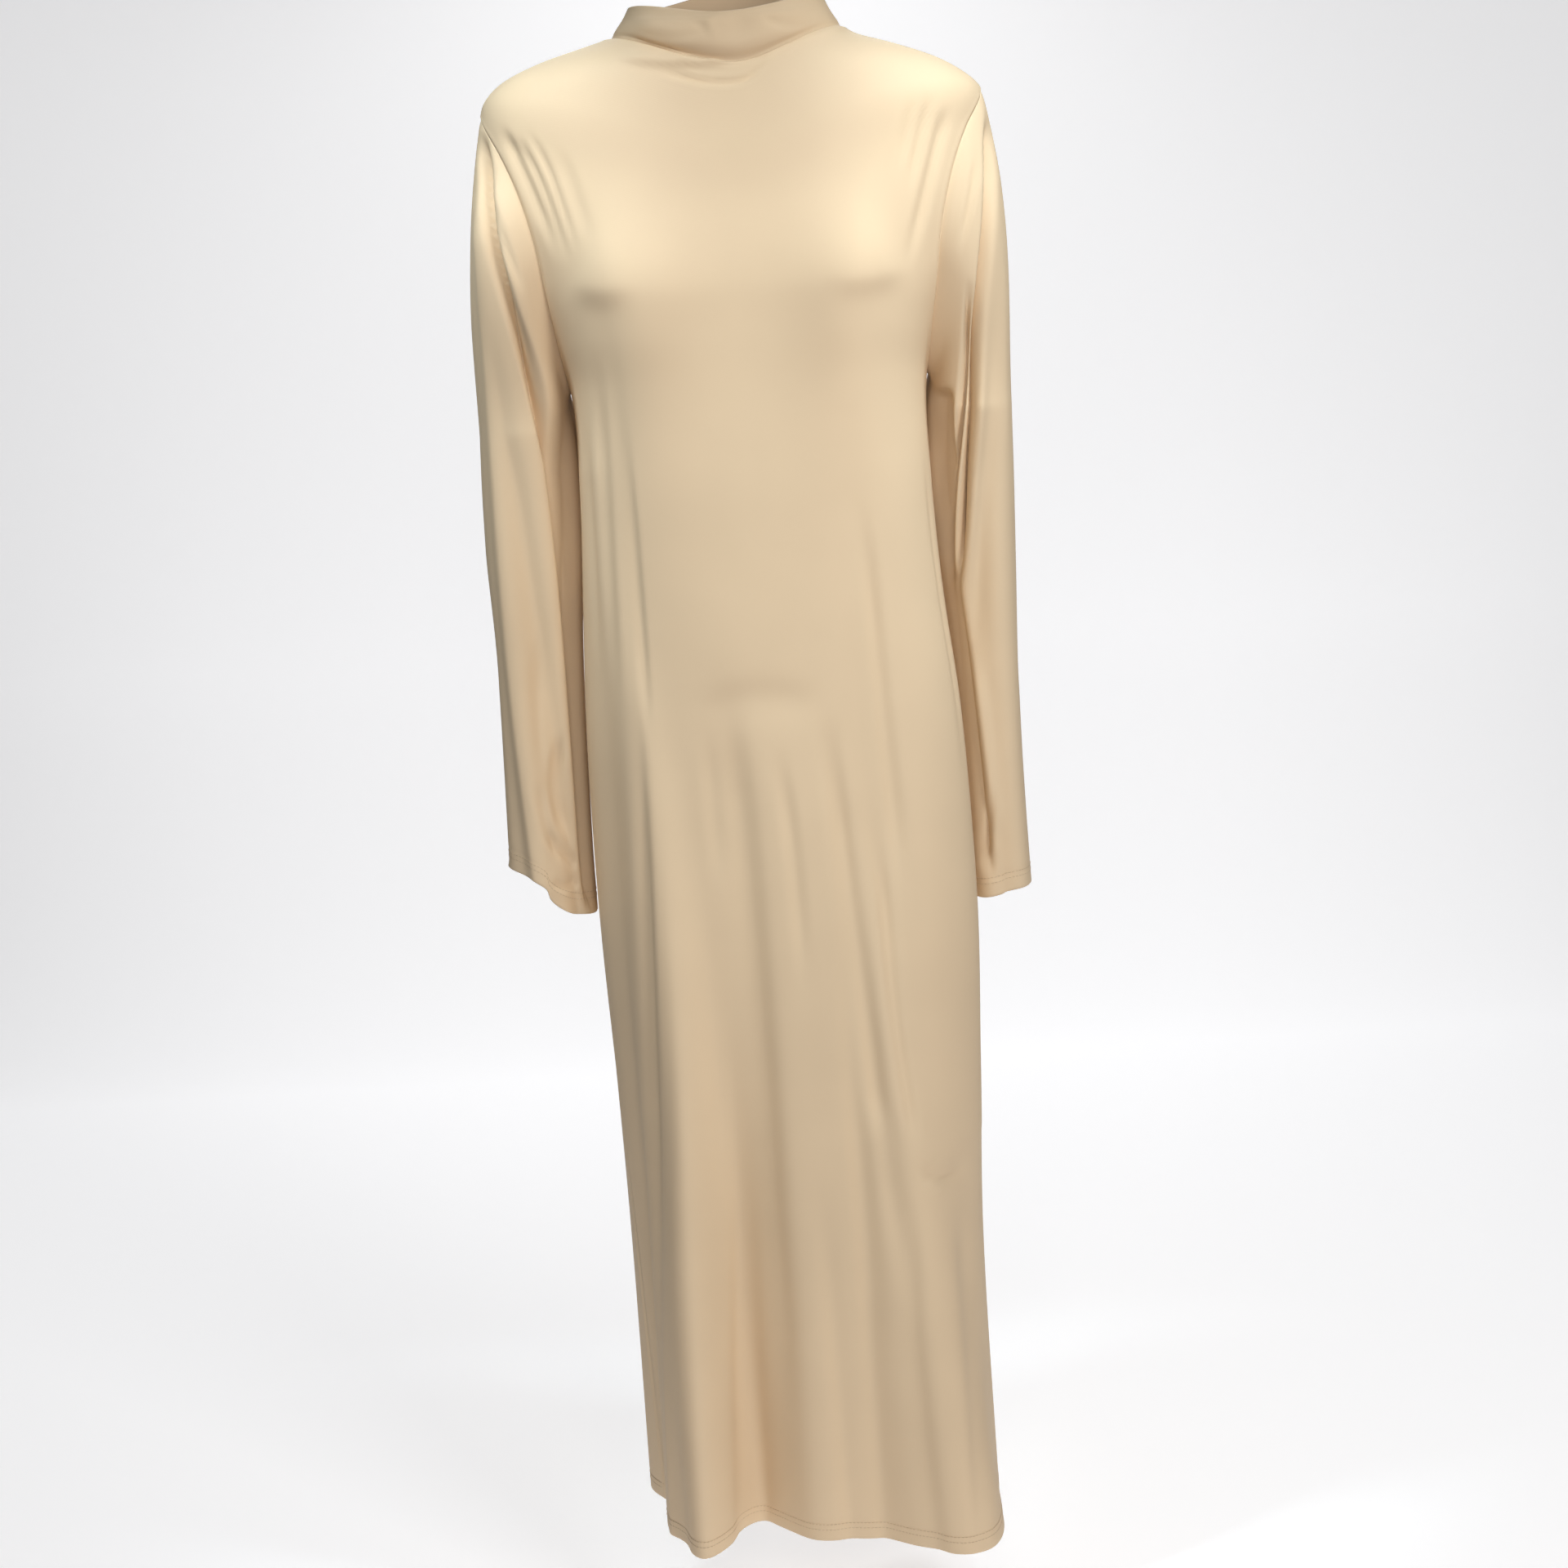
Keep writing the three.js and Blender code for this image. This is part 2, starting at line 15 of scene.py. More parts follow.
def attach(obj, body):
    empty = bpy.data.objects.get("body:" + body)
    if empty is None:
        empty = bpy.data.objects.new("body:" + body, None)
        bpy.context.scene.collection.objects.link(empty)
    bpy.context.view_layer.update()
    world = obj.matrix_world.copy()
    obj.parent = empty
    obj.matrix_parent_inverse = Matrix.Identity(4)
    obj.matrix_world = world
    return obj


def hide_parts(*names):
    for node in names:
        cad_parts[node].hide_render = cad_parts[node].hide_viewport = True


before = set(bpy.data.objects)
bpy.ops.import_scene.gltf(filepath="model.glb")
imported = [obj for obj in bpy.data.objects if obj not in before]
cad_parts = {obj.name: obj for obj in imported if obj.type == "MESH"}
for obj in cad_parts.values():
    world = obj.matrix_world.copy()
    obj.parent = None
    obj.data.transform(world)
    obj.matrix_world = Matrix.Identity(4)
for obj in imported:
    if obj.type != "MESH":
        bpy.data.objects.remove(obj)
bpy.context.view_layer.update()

logging.basicConfig(level=logging.INFO, format="%(message)s")
log = logging.getLogger("maxi_dress")

Array = np.ndarray
MM = 0.001
RAD = math.pi / 180
NEAR = 0.00001  # metres within which places count as the same

# Heights and wall sizes in millimetres, the same as the solids of the frame.
TIP_Z = -60.0
UNDERARM_Z = -305.0
HEM_Z = -1360.0
CAP_END_Z = -340.0
ARMHOLE_INSET_FRONT = 21.0
ARMHOLE_INSET_BACK = 15.0
ARMHOLE_ROUNDNESS = 0.6

CLOTH = 0.7  # thickness of one layer of jersey
ALLOWANCE = 2.4  # how much deeper the cloth is where a seam allowance lies inside
ALLOWANCE_REACH = 3.0
SEAM_DIP = 0.9  # how far a seam line is drawn in
SEAM_REACH = 2.6
SEAM_RIDGE = 0.55  # how far the cloth beside a seam stands up over the allowance
HEM_DIP = 0.3  # how far the edge of a turned-up hem shows through
HEM_DIP_REACH = 1.6
HEM_OVERLAP = 2.0  # height over which the doubled hem runs out


class View(Enum):
    """Side of the dress from which a crease is laid out."""

    FRONT = "front"
    BACK = "back"
    LEFT = "left"
    RIGHT = "right"


class Part(Enum):
    """Kind of part of a mesh that is picked in edit mode."""

    EDGE = "EDGE"
    FACE = "FACE"


def smooth(t: Array) -> Array:
    """Ease from 0 to 1 as t goes from 0 to 1."""
    t = np.clip(t, 0.0, 1.0)
    return t * t * (3 - 2 * t)


def turn(start: Array, end: Array) -> Array:
    """Signed difference of two angles in degrees, within -180 and 180."""
    return np.mod(end - start + 180.0, 360.0) - 180.0


def unit(vectors: Array) -> Array:
    """Scale vectors along the last axis to length one."""
    return vectors / np.maximum(np.linalg.norm(vectors, axis=-1, keepdims=True), 1e-12)


def reach(across: Array, along: Array, width: Array, depth: Array, square: Array) -> Array:
    """Distance from the middle of a superellipse to its edge in a direction.

    Args:
        across: Sideways part of the unit direction.
        along: Front-to-back part of the unit direction.
        width: Half width of the superellipse.
        depth: Half depth of the superellipse.
        square: Power of the superellipse, 2 for an ellipse.

    Returns:
        The distance in the units of width and depth.
    """
    total = np.abs(across / width) ** square + np.abs(along / depth) ** square
    return total ** (-1 / square)


@dataclass(frozen=True)
class Table:
    """Sections with named columns, joined by a smooth curve down the garment."""

    columns: tuple[str, ...]
    rows: tuple[tuple[float, ...], ...]

    def at(self, height: Array) -> dict[str, Array]:
        """Read every column at the given heights.

        Args:
            height: Heights in millimetres, of any shape.

        Returns:
            The columns by name, each shaped as height.
        """
        rows = np.array(self.rows, float)
        down = -rows[:, 0]
        last = len(down) - 1
        t = np.clip(-np.asarray(height, float), down[0], down[-1])
        high = np.clip(np.searchsorted(down, t, side="right"), 1, last)
        low = high - 1
        before = np.where(low > 0, low - 1, high)
        after = np.where(high < last, high + 1, low)
        half = (down[high] - down[low]) / 2
        slope_in = half / (down[low] - down[before])
        slope_out = half / (down[after] - down[high])
        p = (t - down[low]) / (down[high] - down[low])
        weights = (
            (before, -slope_in * p**3 + 2 * slope_in * p**2 - slope_in * p),
            (low, (1 + slope_in) * p**3 - (1.5 + 2 * slope_in) * p**2 + (slope_in - 0.5) * p + 1),
            (high, (1.5 + slope_out) * p**2 - (1 + slope_out) * p**3 + 0.5 * p),
            (after, slope_out * p**3 - slope_out * p**2),
        )
        values = sum(weight[..., None] * rows[index] for index, weight in weights)
        return {name: values[..., k] for k, name in enumerate(self.columns)}


@dataclass(frozen=True)
class Fold:
    """Large fold that runs down the cloth, the same as in the solids of the frame."""

    top: float
    bottom: float
    angle_top: float
    angle_bottom: float
    depth: float
    grow: float
    fade: float
    left: float
    right: float

    def lift(self, angle: Array, z: Array) -> Array:
        """How far the fold lifts the cloth outward, in millimetres.

        Args:
            angle: Angles round the form, in degrees.
            z: Heights, in millimetres.

        Returns:
            The lift at each point.
        """
        t = np.clip((self.top - z) / (self.top - self.bottom), 0, 1)
        middle = self.angle_top + turn(self.angle_top, self.angle_bottom) * t
        away = turn(middle, angle)
        spread = np.exp(-((away / np.where(away < 0, self.left, self.right)) ** 2))
        ending = 1.0
        if self.fade > 0:
            ending = 1 - smooth((t - 1 + self.fade) / self.fade)
            ending = np.where(z < self.bottom, 0.0, ending)
        return self.depth * t**self.grow * spread * ending


@dataclass(frozen=True)
class Crease:
    """Soft trough or ridge that follows a path over the cloth, as seen from one side.

    The path is given in millimetres as (across, height) points in the plane of its view, from
    top to bottom. Low and high are its half widths toward smaller and larger across values.
    """

    view: View
    path: tuple[tuple[float, float], ...]
    depth: float
    low: float
    high: float
    start: float = 0.2
    end: float = 0.35
    rim: float = 0.5

    FALL: ClassVar[float] = 0.8  # how fast the shape falls off, by half widths
    FACING: ClassVar[float] = 0.3  # cloth that faces the view less than this is creased less
    REACH: ClassVar[float] = 3.2  # half widths past which nothing is left of the crease

    def route(self, steps: int = 8) -> Array:
        """Smooth line through the points of the path.

        Args:
            steps: Pieces into which the stretch between two points is cut.

        Returns:
            Points of the line, (count, 2).
        """
        points = np.array(self.path, float)
        if len(points) == 2:
            return points
        ends = np.vstack([2 * points[0] - points[1], points, 2 * points[-1] - points[-2]])
        t = np.linspace(0, 1, steps, endpoint=False)[:, None]
        line = []
        for a, b, c, d in zip(ends, ends[1:], ends[2:], ends[3:]):
            cubic = (2 * a - 5 * b + 4 * c - d) * t**2 + (3 * b - a - 3 * c + d) * t**3
            line.append(0.5 * (2 * b + (c - a) * t + cubic))
        return np.vstack([*line, points[-1:]])

    def lift(self, points: Array, normals: Array) -> Array:
        """How far the crease moves each point along its normal, in millimetres.

        Args:
            points: Points of the cloth, (..., 3).
            normals: Outward unit normals of the cloth there.

        Returns:
            The lift, outward positive.
        """
        axis, facing = {
            View.FRONT: (0, -normals[..., 1]),
            View.BACK: (0, normals[..., 1]),
            View.LEFT: (1, normals[..., 0]),
            View.RIGHT: (1, -normals[..., 0]),
        }[self.view]
        flat = points[..., [axis, 2]]
        line = self.route()
        lengths = np.linalg.norm(np.diff(line, axis=0), axis=1)
        total = lengths.sum()
        reach_out = self.REACH * max(self.low, self.high)
        near = (
            (flat > line.min(0) - reach_out).all(-1)
            & (flat < line.max(0) + reach_out).all(-1)
            & (facing > 0)
        )
        lift = np.zeros(flat.shape[:-1])
        spots = flat[near]
        if not len(spots):
            return lift
        best = np.full(len(spots), np.inf)
        along = np.zeros(len(spots))
        side = np.zeros(len(spots))
        run = 0.0
        for a, b, length in zip(line, line[1:], lengths):
            step = (b - a) / length
            off = spots - a
            t = np.clip(off @ step, 0, length)
            gap = np.linalg.norm(off - t[:, None] * step, axis=1)
            closer = gap < best
            best = np.where(closer, gap, best)
            along = np.where(closer, run + t, along)
            side = np.where(closer, step[0] * off[:, 1] - step[1] * off[:, 0], side)
            run += length
        r = best / np.where(side > 0, self.high, self.low)
        shape = (1 - self.rim * r**2) * np.exp(-self.FALL * r**2)
        share = along / total
        ends = smooth(share / self.start) * smooth((1 - share) / self.end)
        lift[near] = self.depth * shape * ends * smooth(facing[near] / self.FACING)
        return lift


def creased(points: Array, normals: Array, creases: Sequence[Crease]) -> Array:
    """Move points along their normals by all the creases together."""
    lift = sum((c.lift(points, normals) for c in creases), np.zeros(points.shape[:-1]))
    return points + normals * lift[..., None]


# ---- tables of the body ----
BODY = Table(
    ("z", "left", "right", "front", "back", "side_y", "drop_front", "drop_back", "square"),
    (
        (0, 103, 102, 72, 64, 0, 36, 0, 2.0),
        (-8, 132, 115, 79, 72, 0, 43, 6, 2.0),
        (-17, 164, 144, 85, 80, 0, 48, 12, 2.0),
        (-31, 198, 182, 91, 88, 0, 52, 18, 2.05),
        (-46, 216, 208, 96, 94, 0, 53, 22, 2.1),
        (-60, 222, 222, 100, 98, 0, 53, 24, 2.15),
        (-95, 223, 223, 106, 103, 0, 48, 24, 2.2),
        (-150, 214, 215, 114, 113, 0, 34, 18, 2.3),
        (-210, 192, 194, 119, 119, 0, 16, 8, 2.4),
        (-262, 171, 173, 121, 119, 0, 5, 2, 2.5),
        (-305, 159, 162, 121, 117, 0, 0, 0, 2.5),
        (-400, 157, 161, 118, 115, -3, 0, 0, 2.5),
        (-500, 161, 166, 110, 124, -9, 0, 0, 2.45),
        (-600, 165, 176, 101, 139, -16, 0, 0, 2.4),
        (-700, 166, 181, 96, 152, -20, 0, 0, 2.35),
        (-800, 165, 183, 95, 155, -21, 0, 0, 2.35),
        (-940, 160, 179, 97, 151, -19, 0, 0, 2.35),
        (-1100, 155, 174, 103, 144, -14, 0, 0, 2.4),
        (-1360, 150, 177, 108, 138, -10, 0, 0, 2.5),
    ),
)

BODY_FOLDS = (
    Fold(-420, -1360, -55, -42, 42, 1.4, 0, 9.5, 7),
    Fold(-380, -1360, -66, -82, -20, 0.8, 0, 10, 8),
    Fold(-620, -1360, -36, -33, -22, 1.4, 0, 6.5, 10),
    Fold(-540, -1360, -24, -23, -33, 1.3, 0, 13, 15),
    Fold(-700, -1360, 46, 54, 66, 1.5, 0, 15, 14),
    Fold(-330, -900, 39, 49, -5, 0.8, 0.35, 7, 7),
    Fold(-600, -1200, 31, 33, -9, 1, 0.35, 5, 5),
    Fold(-720, -1150, 38, 44, -9, 1, 0.3, 4, 4),
    Fold(-230, -620, -50, -53, -5, 0.7, 0.4, 4.5, 4.5),
    Fold(-560, -1360, -108, -106, 12, 1, 0, 10, 11),
    Fold(-470, -1360, 179, 176, -30, 1.3, 0, 13, 15),
    Fold(-520, -1360, -152, -148, 24, 1.4, 0, 10, 9),
    Fold(-560, -1360, 148, 142, 28, 1.5, 0, 10, 12),
    Fold(-480, -1360, -124, -121, -16, 1.2, 0, 9, 9),
    Fold(-500, -1360, 112, 116, -15, 1.2, 0, 10, 10),
)

BODY_CREASES = (
    # drag lines from the armholes over the chest
    Crease(View.FRONT, ((-200, -74), (-178, -126), (-152, -200)), -3.2, 6, 5, 0.2, 0.4, 0.9),
    Crease(View.FRONT, ((-188, -82), (-166, -130), (-144, -204)), -2.8, 5, 4.5, 0.25, 0.4, 0.9),
    Crease(View.FRONT, ((-176, -80), (-157, -125), (-137, -196)), -2.0, 4.5, 4, 0.3, 0.4, 0.9),
    Crease(View.FRONT, ((-150, -96), (-138, -140), (-124, -190)), -1.4, 8, 7, 0.3, 0.4),
    Crease(View.FRONT, ((188, -78), (172, -128), (156, -180), (144, -220)), -2.8, 6, 6, 0.2, 0.35, 0.9),
    Crease(View.FRONT, ((174, -68), (161, -110), (149, -156)), -2.2, 5, 5, 0.3, 0.4, 0.9),
    Crease(View.FRONT, ((160, -70), (150, -104), (140, -140)), -1.4, 5, 5, 0.3, 0.4),
    # full top of the bust, which turns to the hanging front in a soft edge
    Crease(View.FRONT, ((-158, -212), (-112, -221), (0, -222), (108, -223), (158, -213)),
           1.6, 26, 60, 0.2, 0.2, 0),
    Crease(View.FRONT, ((-150, -210), (-116, -220), (-82, -219)), 3.2, 13, 34, 0.4, 0.5, 0),
    Crease(View.FRONT, ((66, -220), (104, -224), (148, -211)), 3.4, 13, 34, 0.5, 0.4, 0),
    # soft rolls below the neck seam
    Crease(View.FRONT, ((-98, -17), (-84, -27), (-62, -32), (-38, -34), (-4, -34), (24, -31)),
           5.0, 3, 9, 0.25, 0.3, 0),
    Crease(View.FRONT, ((-62, -39), (-40, -46), (-18, -52), (8, -53), (23, -46), (36, -35)),
           -3.0, 3, 3.4, 0.3, 0.3, 0.8),
    Crease(View.FRONT, ((34, -33), (52, -27), (76, -18)), -1.4, 3, 3, 0.3, 0.5),
    # narrow folds down the right side of the front
    Crease(View.FRONT, ((-128, -262), (-130, -400), (-133, -600)), -3.0, 6, 7, 0.3, 0.4, 0.9),
    Crease(View.FRONT, ((-144, -330), (-145, -430), (-147, -560)), -1.6, 5, 5, 0.3, 0.4, 0.9),
    Crease(View.FRONT, ((-107, -330), (-105, -470), (-104, -620)), -2.2, 6, 4, 0.4, 0.3, 0.9),
    Crease(View.FRONT, ((-113, -560), (-117, -760), (-124, -980), (-130, -1180)),
           -5.0, 9, 6, 0.3, 0.4, 0.8),
    Crease(View.FRONT, ((-46, -860), (-52, -1080), (-60, -1240), (-68, -1480)),
           -6.0, 8, 16, 0.4, 0.1, 0.2),
    Crease(View.FRONT, ((-112, -940), (-117, -1080), (-124, -1240), (-129, -1480)),
           9.0, 7, 11, 0.6, 0.1, 0),
    # middle of the skirt
    Crease(View.FRONT, ((-70, -594), (-10, -580), (60, -592)), -1.3, 22, 14, 0.35, 0.35, 0.2),
    Crease(View.FRONT, ((-34, -570), (-28, -690), (-24, -837), (-22, -1060), (-24, -1300)),
           -4.6, 17, 14, 0.15, 0.4, 0.5),
    Crease(View.FRONT, ((-54, -590), (-52, -660), (-50, -760)), -1.8, 8, 8, 0.4, 0.4),
    Crease(View.FRONT, ((8, -620), (16, -720), (20, -860)), -2.2, 8, 8, 0.3, 0.4, 0.8),
    # left thigh
    Crease(View.FRONT, ((90, -405), (97, -472), (104, -616), (112, -780)), -3.6, 9, 8, 0.3, 0.3, 0.8),
    Crease(View.FRONT, ((50, -590), (60, -690), (70, -836), (80, -985)), -3.8, 11, 9, 0.3, 0.12, 0.8),
    Crease(View.FRONT, ((86, -690), (94, -762), (99, -875), (112, -1000)), -3.4, 7, 6, 0.3, 0.15, 0.9),
    Crease(View.FRONT, ((126, -560), (136, -760), (144, -900), (148, -1022)),
           4.4, 18, 26, 0.4, 0.06, 0),
    Crease(View.FRONT, ((110, -1010), (130, -1024), (162, -1030)), -3.4, 6, 5, 0.3, 0.3, 0.7),
    # foot of the full fold
    Crease(View.FRONT, ((103, -1026), (98, -1142), (102, -1260), (114, -1450)),
           -3.4, 14, 11, 0.25, 0.1, 0.6),
    Crease(View.FRONT, ((148, -1050), (152, -1170), (149, -1400)), -3.4, 9, 9, 0.2, 0.3, 0.6),
    # long soft lines in the lower skirt
    Crease(View.FRONT, ((-14, -1040), (-18, -1200), (-20, -1440)), -2.4, 18, 18, 0.3, 0.1, 0.5),
    Crease(View.FRONT, ((22, -1000), (28, -1160), (34, -1440)), -2.0, 10, 10, 0.3, 0.05, 0.5),
    Crease(View.FRONT, ((58, -1030), (60, -1180), (64, -1440)), -1.8, 8, 10, 0.3, 0.1, 0.5),
    # back
    Crease(View.BACK, ((178, -90), (160, -140), (142, -200)), -2.2, 5, 5),
    Crease(View.BACK, ((-180, -92), (-160, -145), (-140, -215)), -2.4, 5, 5),
    Crease(View.BACK, ((-120, -300), (-116, -430), (-112, -600)), -2.6, 8, 9, 0.3, 0.4),
    Crease(View.BACK, ((112, -310), (108, -450), (110, -640)), -2.4, 8, 8, 0.3, 0.4),
    Crease(View.BACK, ((-58, -420), (-50, -560), (-60, -760), (-52, -980)), -2.6, 10, 10, 0.3, 0.3),
    Crease(View.BACK, ((60, -440), (66, -620), (52, -820), (60, -1050)), -2.4, 9, 11, 0.3, 0.3),
    Crease(View.BACK, ((-20, -700), (-8, -900), (-14, -1150), (-10, -1350)),
           2.4, 10, 10, 0.3, 0.05, 0.4),
    Crease(View.BACK, ((-66, -330), (0, -352), (64, -336)), -1.2, 12, 12, 0.3, 0.3),
    # sides
    Crease(View.LEFT, ((20, -340), (32, -480), (22, -640)), -2.4, 8, 8, 0.3, 0.4),
    Crease(View.LEFT, ((-52, -360), (-44, -520), (-50, -700)), -2.0, 7, 7, 0.3, 0.4),
    Crease(View.LEFT, ((60, -620), (70, -820), (58, -1050)), -2.6, 10, 10, 0.3, 0.4),
    Crease(View.RIGHT, ((18, -340), (30, -480), (24, -620)), -2.4, 8, 8, 0.3, 0.4),
    Crease(View.RIGHT, ((62, -600), (74, -800), (60, -1040)), -2.6, 10, 10, 0.3, 0.4),
)


@dataclass(frozen=True)
class Bust:
    """Fullness of the front: one soft bump each side, in millimetres."""

    x: float = 96
    z: float = -222
    out: float = 17
    across: float = 46
    above: float = 74
    below: float = 150
    hang: float = 0.3
    end: float = 420
    taper: float = 0.5

    def lift(self, x: Array, z: Array) -> Array:
        """How far the bust pushes the cloth forward.

        Args:
            x: Places across, in millimetres.
            z: Heights, in millimetres.

        Returns:
            The push at each point, in millimetres.
        """
        above = np.exp(-(((z - self.z) / self.above) ** 2))
        below = self.hang + (1 - self.hang) * np.exp(-(((z - self.z) / self.below) ** 2))
        down = np.where(z > self.z, above, below * (1 - smooth((self.z - z) / self.end)))
        return self.out * np.exp(-(((np.abs(x) - self.x) / self.across) ** 2)) * down


@dataclass(frozen=True)
class BodyForm:
    """Surface of the body of the dress, by height and angle round it.

    Angle 0 is the front, 90 the wearer's left side and 180 the back.
    """

    table: Table = BODY
    folds: tuple[Fold, ...] = BODY_FOLDS
    creases: tuple[Crease, ...] = BODY_CREASES
    bust: Bust = Bust()

    def base(self, z: Array, angle: Array) -> Array:
        """Points of the form with its large folds.

        Args:
            z: Heights of the rows, in millimetres.
            angle: Angles round the body, in degrees.

        Returns:
            Points, (..., 3), in millimetres.
        """
        z, angle = np.broadcast_arrays(np.asarray(z, float), np.asarray(angle, float))
        s = self.table.at(z)
        sin, cos = np.sin(angle * RAD), np.cos(angle * RAD)
        width = np.where(sin < 0, s["left"], s["right"])
        depth = np.where(cos > 0, s["front"], s["back"])
        r = reach(sin, cos, width, depth, s["square"])
        power = s["square"] - 1
        out_x = np.sign(sin) * np.abs(r * sin / width) ** power / width
        out_y = -np.sign(cos) * np.abs(r * cos / depth) ** power / depth
        out = sum(f.lift(angle, z) for f in self.folds) / np.hypot(out_x, out_y)
        forward = self.bust.lift(r * sin, z) * np.maximum(cos, 0) ** self.bust.taper
        drop = np.where(cos > 0, s["drop_front"], s["drop_back"])
        x = r * sin + out_x * out
        y = s["side_y"] - r * cos + out_y * out - forward
        return np.stack([x, y, z - drop * cos * cos], -1)

    def normal(self, z: Array, angle: Array) -> Array:
        """Outward unit normals of the form.

        Args:
            z: Heights of the rows, in millimetres.
            angle: Angles round the body, in degrees.

        Returns:
            Unit vectors, (..., 3).
        """
        down = self.base(np.asarray(z) + 1, angle) - self.base(np.asarray(z) - 1, angle)
        round_ = self.base(z, np.asarray(angle) + 0.5) - self.base(z, np.asarray(angle) - 0.5)
        return unit(np.cross(round_, down))

    def surface(self, z: Array, angle: Array) -> tuple[Array, Array]:
        """Surface of the body with all its creases.

        Args:
            z: Heights of the rows, in millimetres.
            angle: Angles round the body, in degrees.

        Returns:
            The points, and the normals that the creases moved them along.
        """
        points = self.base(z, angle)
        normals = self.normal(z, angle)
        return creased(points, normals, self.creases), normals


def armhole_angle(z: Array, front: Array) -> Array:
    """Angle at which the front or the back ends beside the armhole, on the wearer's left.

    Args:
        z: Heights of the body's rows, in millimetres.
        front: True where the front is meant, and false for the back.

    Returns:
        The angles, in degrees.
    """
    t = np.clip((TIP_Z - z) / (TIP_Z - UNDERARM_Z), 0, 1)
    inset = np.where(front, ARMHOLE_INSET_FRONT, -ARMHOLE_INSET_BACK)
    return 90 - inset * np.sin(math.pi * t) ** ARMHOLE_ROUNDNESS


def armhole_z(ring: Array) -> Array:
    """Height of the body's row that a point of the armhole belongs to."""
    return TIP_Z + (UNDERARM_Z - TIP_Z) * (1 - np.cos(ring * RAD)) / 2


# ---- tables of the sleeves ----
SLEEVE_COLUMNS = ("z", "outer", "inner", "front", "back", "rise", "sag", "square")
SLEEVE_RIGHT = Table(
    SLEEVE_COLUMNS,
    (
        (-340, 241, 161, -48, 70, 0, 0, 2.2),
        (-400, 244, 159.5, -43, 69, 0, 0, 2.2),
        (-480, 246.5, 163, -39, 66, 0, 0, 2.3),
        (-560, 247.5, 167, -36, 64, 3, 1, 2.3),
        (-640, 248, 169, -35, 62, 10, 4, 2.3),
        (-710, 248.5, 170, -35, 60, 20, 2, 2.3),
        (-757, 248.5, 169.5, -37, 60, 27, 3, 2.3),
    ),
)
SLEEVE_LEFT = Table(
    SLEEVE_COLUMNS,
    (
        (-340, 239, 164, -42, 76, 0, 0, 2.2),
        (-400, 239, 163, -30, 84, 0, 0, 2.2),
        (-480, 238, 168, -20, 90, 0, 0, 2.2),
        (-560, 237, 173.5, -12, 95, 0, 0, 2.3),
        (-640, 237, 177.5, -7, 98, 1, 0, 2.3),
        (-720, 238.5, 180.5, -5, 100, 2, 1, 2.3),
        (-788, 240.5, 181.5, -5, 101, 4, 2, 2.3),
    ),
)

SLEEVE_RIGHT_FOLDS = (
    Fold(-90, -760, 38, 128, -9, 0.5, 0, 17, 12),
    Fold(-250, -760, 48, 40, 4, 0.8, 0, 22, 18),
    Fold(-360, -700, 300, 285, -7, 0.8, 0.3, 20, 20),
    Fold(-120, -420, 262, 232, -7, 0.6, 0.4, 18, 18),
)
SLEEVE_LEFT_FOLDS = (
    Fold(-110, -620, 40, 112, -8, 0.5, 0.3, 15, 12),
    Fold(-420, -785, 96, 88, -7, 0.8, 0, 20, 16),
    Fold(-360, -740, 298, 286, -6, 0.8, 0.3, 20, 20),
    Fold(-120, -420, 262, 232, -7, 0.6, 0.4, 18, 18),
)

SLEEVE_RIGHT_CREASES = (
    # sharp front edge and flat outer side
    Crease(View.FRONT, ((-223, -112), (-225, -230), (-227, -360), (-228, -480), (-226, -600),
                         (-217, -780)), 7.0, 6, 12, 0.1, 0.05, 0),
    Crease(View.RIGHT, ((-4, -120), (-2, -300), (2, -560)), 4.0, 20, 24, 0.3, 0.5, 0),
    Crease(View.RIGHT, ((4, -440), (4, -740)), -5.0, 22, 26, 0.4, 0.05, 0.3),
    # long drag line from the shoulder to the inner side, and the steep inner side below it
    Crease(View.FRONT, ((-221, -72), (-216, -140), (-207, -207), (-194, -279), (-184, -338), (-176, -385)),
           -14.0, 3.2, 5, 0.12, 0.12, 0.2),
    Crease(View.FRONT, ((-180, -310), (-175, -400), (-172, -500), (-172, -640), (-175, -800)),
           -17.0, 5, 19, 0.15, 0.16, 0.1),
    Crease(View.FRONT, ((-212, -128), (-200, -178), (-188, -224)), -2.4, 3.5, 3.5, 0.3, 0.4, 0.9),
    Crease(View.FRONT, ((-212, -110), (-206, -150), (-197, -213), (-184, -279), (-173, -345)),
           7.5, 5, 13, 0.25, 0.25, 0),
    # crumpled cuff
    Crease(View.FRONT, ((-204, -520), (-208, -610), (-202, -700)), -2.4, 9, 7, 0.3, 0.3, 0.7),
    Crease(View.FRONT, ((-188, -610), (-197, -660), (-192, -712)), -3.6, 7, 6, 0.3, 0.3, 0.9),
    Crease(View.FRONT, ((-208, -700), (-192, -726), (-178, -732)), -3.6, 5, 5, 0.3, 0.3, 0.9),
    Crease(View.FRONT, ((-206, -744), (-194, -752), (-180, -750)), -2.4, 5, 5, 0.3, 0.3, 0.9),
    Crease(View.FRONT, ((-213, -650), (-207, -695), (-198, -735)), -2.6, 5, 6, 0.3, 0.3, 0.9),
    # inner side and back
    Crease(View.LEFT, ((30, -270), (27, -380), (22, -520)), 6.0, 18, 18, 0.1, 0.4, 0.1),
    Crease(View.BACK, ((-190, -200), (-200, -300), (-188, -420)), -4.2, 6, 7, 0.3, 0.4, 0.8),
    Crease(View.BACK, ((-214, -330), (-206, -470), (-214, -620)), -3.6, 7, 7, 0.3, 0.4, 0.8),
    Crease(View.BACK, ((-224, -640), (-206, -668), (-190, -690)), -3.2, 6, 6, 0.3, 0.4, 0.8),
)
